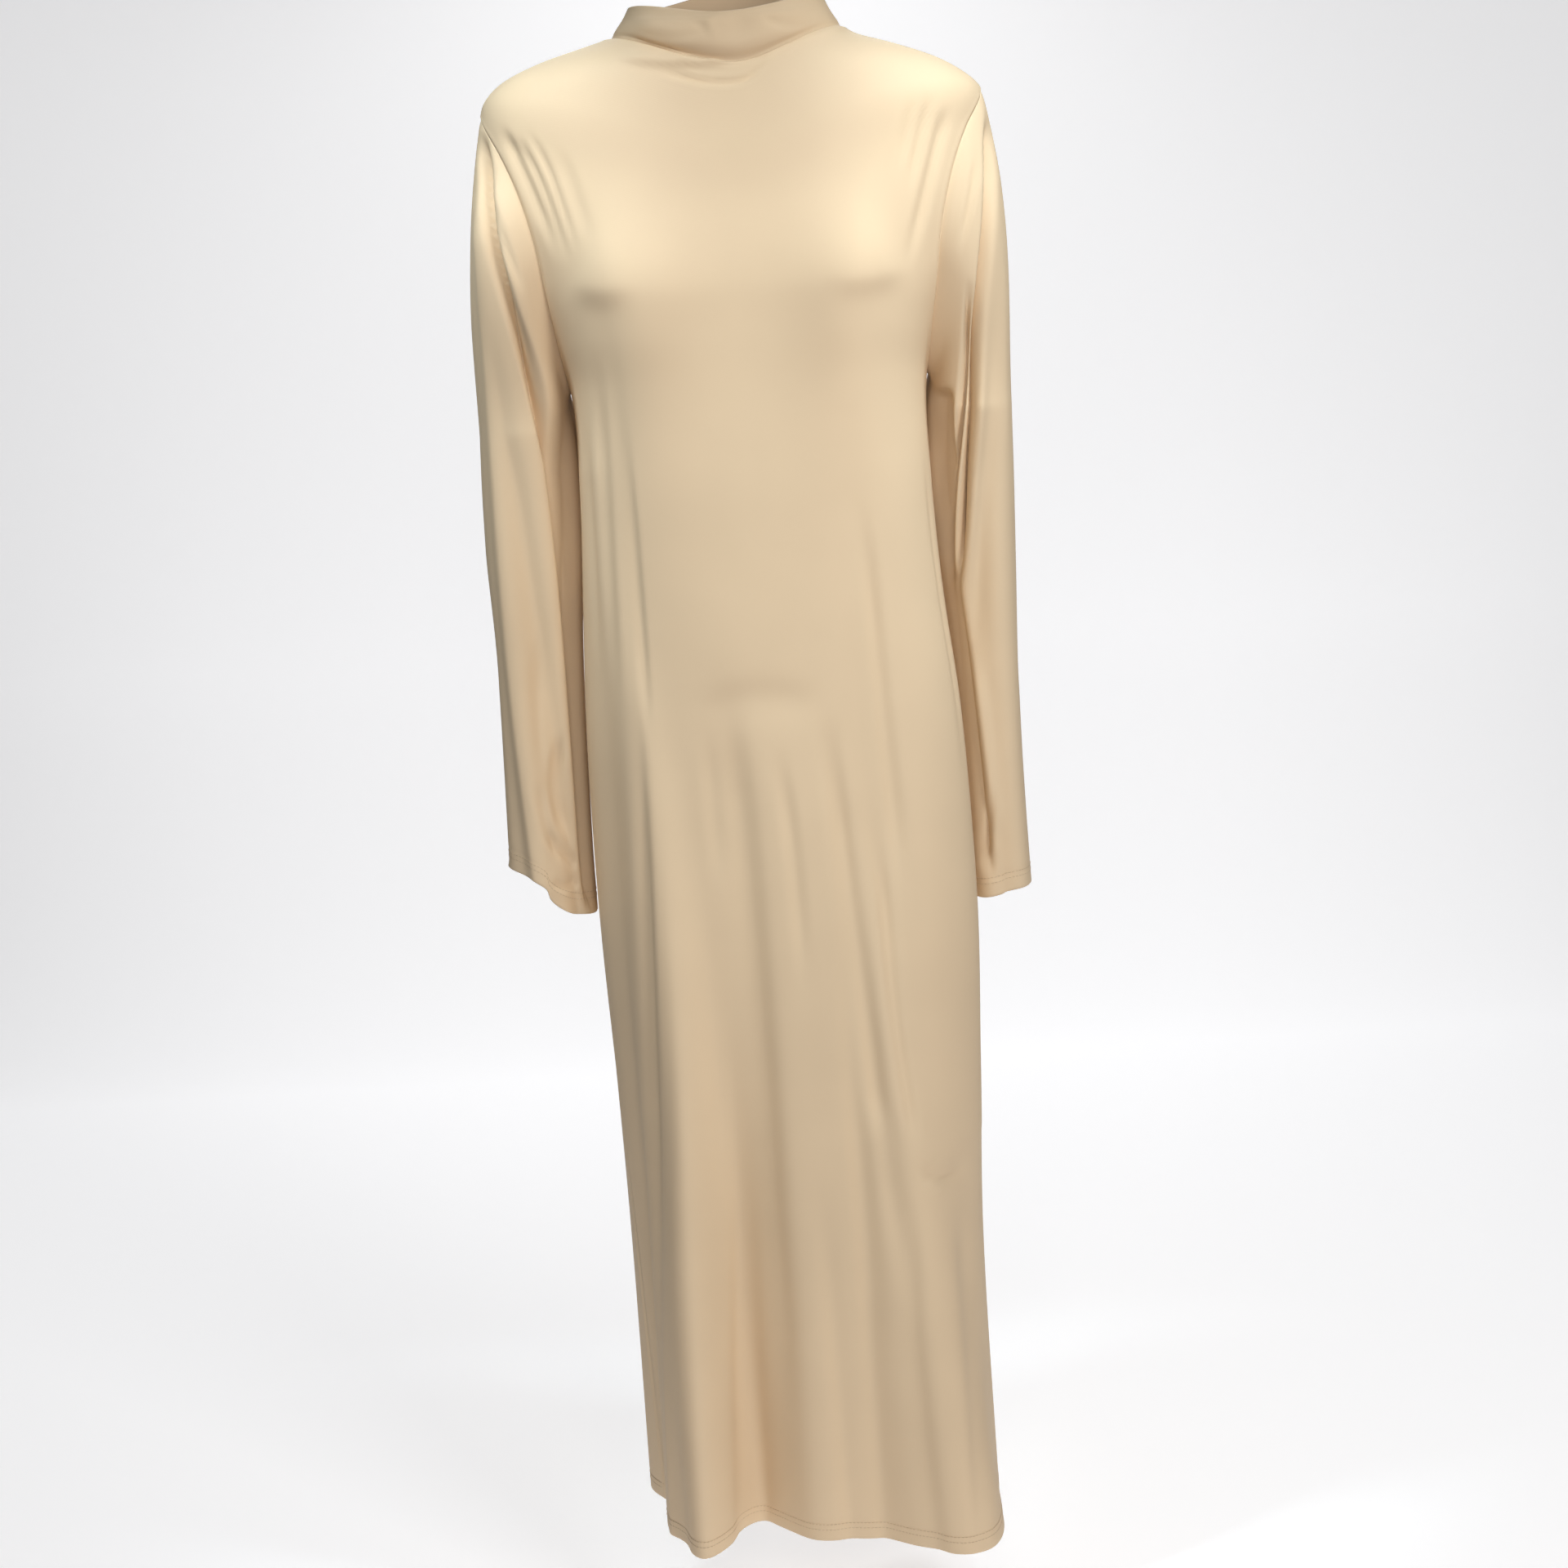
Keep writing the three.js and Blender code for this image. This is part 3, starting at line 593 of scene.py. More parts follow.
SLEEVE_LEFT_CREASES = (
    # long drag lines from the shoulder to the inner side
    Crease(View.FRONT, ((226, -84), (220, -162), (207, -252), (199, -320), (188.5, -412), (176, -520)),
           -17.0, 2.6, 5, 0.1, 0.2, 0.2),
    Crease(View.FRONT, ((199, -228), (194, -297), (183.5, -366), (172.4, -435), (166, -500)),
           -13.0, 2.6, 4, 0.2, 0.2, 0.2),
    Crease(View.FRONT, ((214, -118), (203, -165), (190, -210)), -2.4, 3.5, 3.5, 0.3, 0.4, 0.9),
    Crease(View.FRONT, ((212, -270), (205, -350), (195, -450), (186, -540)), 2.4, 6, 6, 0.3, 0.4, 0.5),
    # hollow under the arm
    Crease(View.FRONT, ((174, -318), (173, -400), (168, -520)), -13.0, 16, 5, 0.07, 0.3, 0),
    # steep inner side of the forearm
    Crease(View.FRONT, ((170, -460), (181, -543), (187, -616), (199, -780)),
           -7.5, 13, 6, 0.2, 0.12, 0.5),
    Crease(View.FRONT, ((192, -560), (199, -640), (207, -740)), 2.6, 6, 8, 0.3, 0.2, 0.5),
    Crease(View.FRONT, ((205, -690), (196, -735), (186, -764)), -3.0, 6, 6, 0.3, 0.3, 0.8),
    # outer side, inner side and back
    Crease(View.LEFT, ((30, -300), (36, -460), (28, -620)), -3.0, 9, 9, 0.3, 0.4, 0.7),
    Crease(View.RIGHT, ((34, -270), (30, -380), (26, -520)), 6.0, 18, 18, 0.1, 0.4, 0.1),
    Crease(View.BACK, ((192, -200), (200, -310), (190, -430)), -4.2, 6, 7, 0.3, 0.4, 0.8),
    Crease(View.BACK, ((214, -340), (208, -480), (216, -640)), -3.6, 7, 7, 0.3, 0.4, 0.8),
    Crease(View.BACK, ((224, -670), (208, -700), (194, -714)), -3.2, 6, 6, 0.3, 0.4, 0.8),
)


@dataclass(frozen=True)
class Cap:
    """How a sleeve's cap leaves the armhole and turns into a hanging tube."""

    top_x: float = 0.19
    top_z: float = -0.95
    middle_x: float = 0.6
    middle_z: float = 0.5
    under_x: float = 0.42
    under_z: float = 0.25
    lean: float = 0.12
    leave: float = 0.85
    arrive: float = 0.9
    axis_x: float = 205
    axis_y: float = 8
    fold_start: float = 1.4

    def direction(self, side: int, ring: Array) -> Array:
        """Unit direction in which the cap leaves the armhole.

        Args:
            side: -1 for the right sleeve and 1 for the left one.
            ring: Angles round the sleeve, in degrees.

        Returns:
            Unit vectors, (..., 3).
        """
        t = (1 - np.cos(ring * RAD)) / 2
        middle = 4 * t * (1 - t)
        under = (1 - middle) * t
        x = side * (self.top_x + self.middle_x * middle + self.under_x * under)
        y = -self.lean * np.sin(ring * RAD) * middle
        z = self.top_z + self.middle_z * middle + self.under_z * under
        return unit(np.stack([x, y, z], -1))


@dataclass(frozen=True)
class SleeveForm:
    """Surface of one sleeve, by ring angle and how far down it lies.

    Ring 0 is the outer side, 90 the front, 180 the inner side. Down runs from 0 at the armhole over
    1 at the end of the cap to 2 at the cuff.
    """

    side: int
    table: Table
    folds: tuple[Fold, ...]
    creases: tuple[Crease, ...]
    body: BodyForm
    cap: Cap = Cap()
    lobe_angle: float = 118
    lobe_width: float = 24
    cuff_step: float = 0.5

    @property
    def cuff_z(self) -> float:
        """Height of the cuff's row."""
        return self.table.rows[-1][0]

    def armhole(self, ring: Array) -> tuple[Array, Array]:
        """Height and angle of the body where the sleeve is sewn in."""
        z = armhole_z(ring)
        return z, self.side * armhole_angle(z, np.sin(ring * RAD) >= 0)

    def lift(self, ring: Array, z: Array) -> Array:
        """Outward lift of the sleeve's large folds."""
        return sum(f.lift(ring, z) for f in self.folds)

    def tube(self, ring: Array, z: Array) -> Array:
        """Points of the hanging tube.

        Args:
            ring: Angles round the sleeve, in degrees.
            z: Heights, in millimetres.

        Returns:
            Points, (..., 3), in millimetres.
        """
        s = self.table.at(z)
        cos, sin = np.cos(ring * RAD), np.sin(ring * RAD)
        r = reach(cos, sin, (s["outer"] - s["inner"]) / 2, (s["back"] - s["front"]) / 2, s["square"])
        r = r + self.lift(ring, z)
        lobe = np.exp(-((turn(self.lobe_angle, ring) / self.lobe_width) ** 2))
        tilt = np.sign(cos) * np.abs(cos) ** self.cuff_step
        x = self.side * ((s["outer"] + s["inner"]) / 2 + r * cos)
        y = (s["front"] + s["back"]) / 2 - r * sin
        return np.stack([x, y, z + s["rise"] * tilt - s["sag"] * lobe], -1)

    def base(self, ring: Array, down: Array) -> Array:
        """Points of the sleeve with its large folds.

        Args:
            ring: Angles round the sleeve, in degrees.
            down: How far down the sleeve, from 0 to 2.

        Returns:
            Points, (..., 3), in millimetres.
        """
        ring, down = np.broadcast_arrays(np.asarray(ring, float), np.asarray(down, float))
        below = CAP_END_Z + (self.cuff_z - CAP_END_Z) * np.maximum(down - 1, 0)
        tube = self.tube(ring, below)
        start = self.body.base(*self.armhole(ring))
        end = self.tube(ring, np.full(ring.shape, CAP_END_Z))
        span = np.linalg.norm(end - start, axis=-1, keepdims=True)
        leave = self.cap.direction(self.side, ring) * span * self.cap.leave
        arrive = np.array([0.0, 0.0, -1.0]) * span * self.cap.arrive
        t = np.minimum(down, 1)[..., None]
        cap = (2 * t**3 - 3 * t**2 + 1) * start + (t**3 - 2 * t**2 + t) * leave
        cap = cap + (3 * t**2 - 2 * t**3) * end + (t**3 - t**2) * arrive
        away = cap - np.array([self.side * self.cap.axis_x, self.cap.axis_y, 0.0])
        away[..., 2] = 0
        t = t[..., 0]
        lift = self.lift(ring, cap[..., 2]) * smooth(t * self.cap.fold_start) * (1 - smooth(t))
        cap = cap + unit(away) * lift[..., None]
        return np.where((down > 1)[..., None], tube, cap)

    def normal(self, ring: Array, down: Array) -> Array:
        """Outward unit normals of the sleeve.

        Args:
            ring: Angles round the sleeve, in degrees.
            down: How far down the sleeve, from 0 to 2.

        Returns:
            Unit vectors, (..., 3).
        """
        before, after = np.minimum(down, 0.02), np.minimum(2 - down, 0.02)
        round_ = self.base(ring + 4, down) - self.base(ring - 4, down)
        along = self.base(ring, down + after) - self.base(ring, down - before)
        return unit(np.cross(round_, along)) * self.side

    def surface(self, ring: Array, down: Array) -> tuple[Array, Array]:
        """Surface of the sleeve with all its creases.

        Args:
            ring: Angles round the sleeve, in degrees.
            down: How far down the sleeve, from 0 to 2.

        Returns:
            The points, and the normals that the creases moved them along.
        """
        points = self.base(ring, down)
        normals = self.normal(ring, down)
        return creased(points, normals, self.creases), normals


COLLAR_CREASES = (
    # upper edge of the slumped front, which leans out over the band
    Crease(View.FRONT, ((-86, 10), (-52, 1), (-16, -1), (18, 0)), 5.0, 17, 6, 0.25, 0.35, 0),
    Crease(View.FRONT, ((6, 1), (40, 2), (78, 10)), 2.6, 15, 6, 0.35, 0.3, 0),
    Crease(View.FRONT, ((-84, 2), (-60, -8), (-34, -13), (-12, -10)), -1.0, 4, 4, 0.3, 0.4, 0.6),
    Crease(View.FRONT, ((-40, 6), (-24, -2), (-14, -14)), -0.9, 5, 5, 0.3, 0.4, 0.5),
    Crease(View.FRONT, ((-14, 6), (-12, -6), (-6, -20)), 0.9, 5, 5, 0.3, 0.4, 0.4),
    Crease(View.FRONT, ((28, 2), (50, -6), (74, -2)), -1.2, 5, 5, 0.3, 0.4, 0.5),
    Crease(View.BACK, ((-50, 10), (0, 4), (48, 12)), -1.8, 5, 5, 0.3, 0.3, 0.6),
)


@dataclass(frozen=True)
class CollarForm:
    """Surface of the neck band, by angle and how far up it lies."""

    body: BodyForm
    left: float = 86
    right: float = 88
    front: float = 67
    back: float = 58
    side_y: float = 2
    square: float = 2.0
    top_front: float = 8
    top_side: float = 25
    top_back: float = 44
    swell: float = 2.5
    slump_angle: float = -12
    slump_half_width: float = 55
    slump_in: float = 2.4
    slump_at: float = 0.08
    slump_band: float = 0.07
    slump_out: float = 3.0
    slump_out_at: float = 0.34
    slump_out_band: float = 0.2
    slump_start: float = 14
    side_bend: float = 4
    creases: tuple[Crease, ...] = COLLAR_CREASES

    def base(self, angle: Array, up: Array) -> Array:
        """Points of the band.

        Args:
            angle: Angles round the neck, in degrees.
            up: How far up, from 0 at the neck seam to 1 at the top edge.

        Returns:
            Points, (..., 3), in millimetres.
        """
        angle, up = np.broadcast_arrays(np.asarray(angle, float), np.asarray(up, float))
        seam = self.body.base(np.zeros(angle.shape), angle)
        sin, cos = np.sin(angle * RAD), np.cos(angle * RAD)
        width = np.where(sin < 0, self.left, self.right)
        depth = np.where(cos > 0, self.front, self.back)
        r = reach(sin, cos, width, depth, self.square)
        middle = np.where(cos > 0, self.top_front, self.top_back)
        top_z = self.top_side + (middle - self.top_side) * cos * cos
        top = np.stack([r * sin, self.side_y - r * cos, top_z], -1)
        slump = np.exp(-((turn(self.slump_angle, angle) / self.slump_half_width) ** 2))
        dent = -self.slump_in * np.exp(-(((up - self.slump_at) / self.slump_band) ** 2))
        bulge = self.slump_out * np.exp(-(((up - self.slump_out_at) / self.slump_out_band) ** 2))
        arch = np.sin(math.pi * up) * (self.swell - self.side_bend * (1 - np.abs(cos)))
        lift = arch + slump * (dent + bulge) * smooth(up * self.slump_start)
        out = np.stack([sin, -cos, np.zeros(angle.shape)], -1)
        return seam + (top - seam) * up[..., None] + out * lift[..., None]

    def normal(self, angle: Array, up: Array) -> Array:
        """Outward unit normals of the band.

        Args:
            angle: Angles round the neck, in degrees.
            up: How far up, from 0 to 1.

        Returns:
            Unit vectors, (..., 3).
        """
        low, high = np.maximum(up - 0.03, 0), np.minimum(up + 0.03, 1)
        round_ = self.base(angle + 0.5, up) - self.base(angle - 0.5, up)
        return unit(np.cross(round_, self.base(angle, high) - self.base(angle, low)))

    def surface(self, angle: Array, up: Array) -> tuple[Array, Array]:
        """Surface of the band with all its creases.

        Args:
            angle: Angles round the neck, in degrees.
            up: How far up, from 0 to 1.

        Returns:
            The points, and the normals that the creases moved them along.
        """
        points = self.base(angle, up)
        normals = self.normal(angle, up)
        return creased(points, normals, self.creases), normals


# ---- finishes ----
SHADED_COLLAR_COLOR = (0.67, 0.505, 0.335)  # neck band colour darkened to paint the shade that falls on the band
WAVE_UNIT = math.pi / 10  # wave scale that gives one band in each unit of length


def new_finish(name: str) -> tuple[bpy.types.Material, bpy.types.NodeTree, bpy.types.Node]:
    """Start a material with nodes.

    Args:
        name: Name of the finish.

    Returns:
        The material, its nodes and its shader.
    """
    mat = bpy.data.materials.new(name)
    mat.use_nodes = True
    return mat, mat.node_tree, mat.node_tree.nodes["Principled BSDF"]


def shade(color: tuple[float, float, float], share: float) -> tuple[float, ...]:
    """A colour made lighter or darker, with full cover."""
    return tuple(part * share for part in color) + (1.0,)


@dataclass(frozen=True)
class JerseyFinish:
    """Smooth, slightly satiny stretch jersey."""

    name: str
    color: tuple[float, float, float] = (0.74, 0.57, 0.385)
    roughness: float = 0.56
    specular: float = 0.04
    sheen: float = 0.01
    sheen_roughness: float = 0.4
    sheen_tint: tuple[float, float, float] = (1.0, 0.93, 0.82)
    cloud_scale: float = 9.0  # broad, faint unevenness of the dye
    cloud_ends: tuple[float, float] = (0.3, 0.7)
    cloud_shades: tuple[float, float] = (0.975, 1.02)
    wale: float = 0.0009  # width of one knitted column in metres
    course_share: float = 0.6
    waver: float = 0.6
    relief: float = 0.00004
    relief_strength: float = 0.25

    def material(self) -> bpy.types.Material:
        """Make the procedural material.

        Returns:
            The material.
        """
        mat, tree, shader = new_finish(self.name)
        shader.inputs["Roughness"].default_value = self.roughness
        shader.inputs["Specular IOR Level"].default_value = self.specular
        shader.inputs["Sheen Weight"].default_value = self.sheen
        shader.inputs["Sheen Roughness"].default_value = self.sheen_roughness
        shader.inputs["Sheen Tint"].default_value = (*self.sheen_tint, 1.0)
        coords = tree.nodes.new("ShaderNodeTexCoord")
        self._dye(tree, coords, shader)
        self._knit(tree, coords, shader)
        return mat

    def _dye(self, tree: bpy.types.NodeTree, coords: bpy.types.Node, shader: bpy.types.Node) -> None:
        """Link the cloth's colour with a faint, broad unevenness.

        Args:
            tree: Nodes of the material.
            coords: Node that gives the coordinates.
            shader: Shader that the colour goes into.
        """
        cloud = tree.nodes.new("ShaderNodeTexNoise")
        cloud.inputs["Scale"].default_value = self.cloud_scale
        cloud.inputs["Detail"].default_value = 2.0
        ramp = tree.nodes.new("ShaderNodeValToRGB")
        for stop, place, share in zip(ramp.color_ramp.elements, self.cloud_ends, self.cloud_shades):
            stop.position = place
            stop.color = shade(self.color, share)
        tree.links.new(coords.outputs["Object"], cloud.inputs["Vector"])
        tree.links.new(cloud.outputs["Fac"], ramp.inputs["Fac"])
        tree.links.new(ramp.outputs["Color"], shader.inputs["Base Color"])

    def _knit(self, tree: bpy.types.NodeTree, coords: bpy.types.Node, shader: bpy.types.Node) -> None:
        """Link the fine knitted columns and rows as bump.

        Args:
            tree: Nodes of the material.
            coords: Node that gives the coordinates.
            shader: Shader that the bump goes into.
        """
        add = tree.nodes.new("ShaderNodeMath")
        add.operation = "ADD"
        for slot, (direction, share) in enumerate((("X", 1.0), ("Y", self.course_share))):
            wave = tree.nodes.new("ShaderNodeTexWave")
            wave.bands_direction = direction
            wave.inputs["Scale"].default_value = WAVE_UNIT / self.wale * share
            wave.inputs["Distortion"].default_value = self.waver
            wave.inputs["Detail"].default_value = 0.0
            tree.links.new(coords.outputs["UV"], wave.inputs["Vector"])
            tree.links.new(wave.outputs["Fac"], add.inputs[slot])
        bump = tree.nodes.new("ShaderNodeBump")
        bump.inputs["Strength"].default_value = self.relief_strength
        bump.inputs["Distance"].default_value = self.relief
        tree.links.new(add.outputs["Value"], bump.inputs["Height"])
        tree.links.new(bump.outputs["Normal"], shader.inputs["Normal"])


@dataclass(frozen=True)
class ThreadFinish:
    """Matt sewing thread, a shade darker than the cloth."""

    name: str = "sewing_thread"
    color: tuple[float, float, float] = (0.60, 0.45, 0.30)
    roughness: float = 0.6
    twist_scale: float = 900.0
    twist_shades: tuple[float, float] = (0.9, 1.08)

    def material(self) -> bpy.types.Material:
        """Make the procedural material, with a fine twist along the thread.

        Returns:
            The material.
        """
        mat, tree, shader = new_finish(self.name)
        shader.inputs["Roughness"].default_value = self.roughness
        coords = tree.nodes.new("ShaderNodeTexCoord")
        noise = tree.nodes.new("ShaderNodeTexNoise")
        noise.inputs["Scale"].default_value = self.twist_scale
        ramp = tree.nodes.new("ShaderNodeValToRGB")
        for stop, share in zip(ramp.color_ramp.elements, self.twist_shades):
            stop.color = shade(self.color, share)
        tree.links.new(coords.outputs["Object"], noise.inputs["Vector"])
        tree.links.new(noise.outputs["Fac"], ramp.inputs["Fac"])
        tree.links.new(ramp.outputs["Color"], shader.inputs["Base Color"])
        return mat


@dataclass(frozen=True)
class BackdropFinish:
    """Matt pale studio paper, lit evenly from its floor to its wall."""

    name: str = "studio_paper"
    color: tuple[float, float, float] = (0.80, 0.80, 0.81)
    roughness: float = 0.9
    glow_low: float = 0.64
    glow_high: float = 0.62
    low_z: float = -1.47
    high_z: float = -0.9

    def material(self) -> bpy.types.Material:
        """Make the plain material.

        Returns:
            The material.
        """
        mat, tree, shader = new_finish(self.name)
        shader.inputs["Base Color"].default_value = (*self.color, 1.0)
        shader.inputs["Roughness"].default_value = self.roughness
        shader.inputs["Emission Color"].default_value = (*self.color, 1.0)
        coords = tree.nodes.new("ShaderNodeTexCoord")
        split = tree.nodes.new("ShaderNodeSeparateXYZ")
        level = tree.nodes.new("ShaderNodeMapRange")
        level.inputs["From Min"].default_value = self.low_z
        level.inputs["From Max"].default_value = self.high_z
        level.inputs["To Min"].default_value = self.glow_low
        level.inputs["To Max"].default_value = self.glow_high
        tree.links.new(coords.outputs["Object"], split.inputs["Vector"])
        tree.links.new(split.outputs["Z"], level.inputs["Value"])
        tree.links.new(level.outputs["Result"], shader.inputs["Emission Strength"])
        return mat


# ---- walls of cloth ----
@dataclass
class Wall:
    """Closed thin wall of cloth made from a grid of outer points.

    Rows run down the garment. A round wall joins its last column to its first.
    """

    name: str
    outer: Array
    thickness: Array
    outward: Array
    round: bool
    u: Array
    v: Array

    def normals(self) -> Array:
        """Find the outward side of the outer grid.

        Returns:
            Unit normals, one for each point.
        """
        if self.round:
            across = np.roll(self.outer, -1, 1) - np.roll(self.outer, 1, 1)
        else:
            across = np.gradient(self.outer, axis=1)
        normals = unit(np.cross(across, np.gradient(self.outer, axis=0)))
        sign = np.sign((normals * self.outward).sum(-1).mean())
        return normals * sign

    def build(self) -> bpy.types.Object:
        """Make the mesh object, in metres.

        Returns:
            The closed wall, with a UV map named cloth.
        """
        normals = self.normals()
        inner = self.outer - normals * self.thickness[..., None]
        along = np.gradient(self.outer, axis=0)
        rims = []
        for end, sign in ((-1, 1), (0, -1)):
            middle = (self.outer[end] + inner[end]) / 2
            push = unit(along[end]) * sign * self.thickness[end][:, None] / 2
            rims.append(middle + push)
        loop = np.concatenate([self.outer, rims[0][None], inner[::-1], rims[1][None]])
        v = np.concatenate([self.v, self.v[-1:], self.v[::-1], self.v[:1]])
        count, columns = loop.shape[:2]
        steps = columns if self.round else columns - 1
        i, j = (g.ravel() for g in np.meshgrid(np.arange(count), np.arange(steps), indexing="ij"))
        i_next, j_next = (i + 1) % count, (j + 1) % columns
        faces = np.stack([i * columns + j, i * columns + j_next,
                          i_next * columns + j_next, i_next * columns + j], 1)
        uvs = np.stack([
            np.stack([self.u[j], self.u[j + 1], self.u[j + 1], self.u[j]], 1),
            np.stack([v[i], v[i], v[i_next], v[i_next]], 1),
        ], -1)
        points = loop.reshape(-1, 3)
        if np.sign(self._volume(points, faces)) < 0:
            faces = faces[:, ::-1]
            uvs = uvs[:, ::-1]
        quads = [tuple(face) for face in faces.tolist()]
        flat_uvs = list(uvs.reshape(-1, 2))
        if not self.round:
            self._cap(quads, flat_uvs, count, columns, faces[0], v)
        mesh = bpy.data.meshes.new(self.name)
        mesh.from_pydata((points * MM).tolist(), [], quads)
        layer = mesh.uv_layers.new(name="cloth")
        layer.data.foreach_set("uv", np.asarray(flat_uvs, np.float32).ravel())
        mesh.polygons.foreach_set("use_smooth", [True] * len(mesh.polygons))
        mesh.update()
        piece = bpy.data.objects.new(self.name, mesh)
        bpy.context.scene.collection.objects.link(piece)
        return piece

    @staticmethod
    def _volume(points: Array, faces: Array) -> float:
        """Signed volume that the quads enclose."""
        a, b, c, d = (points[faces[:, k]] for k in range(4))
        return float((np.cross(a, b) * c).sum() + (np.cross(a, c) * d).sum())

    def _cap(self, quads: list, uvs: list, count: int, columns: int, first: Array, v: Array) -> None:
        """Close the two side edges of a flat wall with strips and end triangles.

        Args:
            quads: Faces of the wall, which the strips are added to.
            uvs: UV points of the faces.
            count: Points round the section of the wall.
            columns: Columns of the grid.
            first: Points of the first face, which tell the way round.
            v: UV heights of the points round the section.
        """
        rows = self.outer.shape[0]
        forward = first[1] == first[0] + 1
        for column, flip in ((0, not forward), (columns - 1, forward)):
            u = float(self.u[column])
            strips = [(k, k + 1, count - 3 - k, count - 2 - k) for k in range(rows - 1)]
            strips += [(rows - 1, rows, rows + 1), (count - 2, count - 1, 0)]
            for strip in strips:
                strip = strip[::-1] if flip else strip
                quads.append(tuple(row * columns + column for row in strip))
                uvs.extend([(u, float(v[row])) for row in strip])


def lengths_from(grid: Array, axis: int) -> Array:
    """Distance along one axis of a grid from its first row or column.

    Args:
        grid: Points, with the coordinates last.
        axis: Axis to run along.

    Returns:
        The distances, shaped as the grid without its coordinates.
    """
    steps = np.linalg.norm(np.diff(grid, axis=axis), axis=-1)
    start = np.zeros_like(np.take(steps, [0], axis=axis))
    return np.concatenate([start, np.cumsum(steps, axis=axis)], axis=axis)


def with_close_ends(values: Array, extra: Sequence[float]) -> Array:
    """Add points close to both ends of an even row of values from -1 to 1."""
    extra = np.array(extra)
    return np.sort(np.concatenate([values, -1 + extra, 1 - extra]))


def near_seam(gap: Array, reach_: float) -> Array:
    """Fall from 1 at a seam to 0 away from it."""
    return np.exp(-((gap / reach_) ** 2))


def hem_dip(up: Array, hem: float) -> Array:
    """Shallow line where the edge of a turned-up hem shows through."""
    return -HEM_DIP * near_seam(up - hem, HEM_DIP_REACH)


def cloth_thickness(up: Array, hem: float, seam: Array) -> Array:
    """Thickness of the cloth, doubled in the hem and deeper over a seam allowance.

    Args:
        up: Distance above the lower edge.
        hem: Height of the turned-up hem.
        seam: Distance from the nearest seam.

    Returns:
        The thickness at each point, in millimetres.
    """
    thick = CLOTH + CLOTH * smooth((hem + HEM_OVERLAP - up) / HEM_OVERLAP)
    return np.maximum(thick, CLOTH + ALLOWANCE * near_seam(seam, ALLOWANCE_REACH))


@dataclass
class Panel:
    """Front or back of the dress, from the neck and shoulder seams to the hem."""

    name: str
    node: str
    form: BodyForm
    front: bool
    columns: int
    flat: tuple[float, float]
    area: float
    hem: float = 16.0
    chest_end: float = -420.0
    hem_zone: float = 28.0
    shoulder_rows: int = 30
    shoulder_crowding: float = 1.3
    chest_rows: int = 84
    skirt_rows: int = 128
    hem_rows: int = 13
    close_columns: tuple[float, ...] = (0.006, 0.014, 0.03)
    uv_half_width: float = 0.26
    hem_angle: float = 89.3
    hem_points: int = 900

    @property
    def centre(self) -> float:
        """Angle of the middle of the panel."""
        return 0.0 if self.front else 180.0

    def heights(self) -> Array:
        """Spread the rows, closer together where the cloth turns.

        Returns:
            Heights of the rows at the sides, from the neck to the hem.
        """
        low = HEM_Z + self.hem_zone
        shoulder = np.linspace(0, 1, self.shoulder_rows, endpoint=False) ** self.shoulder_crowding
        chest = np.linspace(TIP_Z, self.chest_end, self.chest_rows, endpoint=False)
        skirt = np.linspace(self.chest_end, low, self.skirt_rows, endpoint=False)
        return np.concatenate([TIP_Z * shoulder, chest, skirt, np.linspace(low, HEM_Z, self.hem_rows)])

    def build(self) -> bpy.types.Object:
        """Make the panel.

        Returns:
            The panel's cloth.
        """
        z = self.heights()[:, None]
        share = with_close_ends(np.linspace(-1, 1, self.columns), self.close_columns)[None, :]
        edge = np.abs(turn(self.centre, armhole_angle(z, self.front)))
        points, normals = self.form.surface(z, self.centre + share * edge)
        side = lengths_from(points, 1)
        side = np.minimum(side, side[:, -1:] - side)
        near = np.minimum(side, lengths_from(points, 0))
        up = lengths_from(points[::-1], 0)[::-1]
        dip = -SEAM_DIP * near_seam(near, SEAM_REACH)
        dip = dip + SEAM_RIDGE * near_seam(near - 2 * SEAM_REACH, SEAM_REACH) + hem_dip(up, self.hem)
        points = points + normals * dip[..., None]
        thick = cloth_thickness(up, self.hem, near)
        u = share[0] * self.uv_half_width
        return Wall(self.name, points, thick, normals, False, u, self.heights() * MM).build()

    def hem_line(self, above: float) -> tuple[Array, Array]:
        """Line that runs a set distance above the hem.

        Args:
            above: Distance above the hem, in millimetres.

        Returns:
            Points of the line, and the outward normals there.
        """
        angle = self.centre + np.linspace(-self.hem_angle, self.hem_angle, self.hem_points)
        return self.form.surface(np.full(angle.shape, HEM_Z + above), angle)


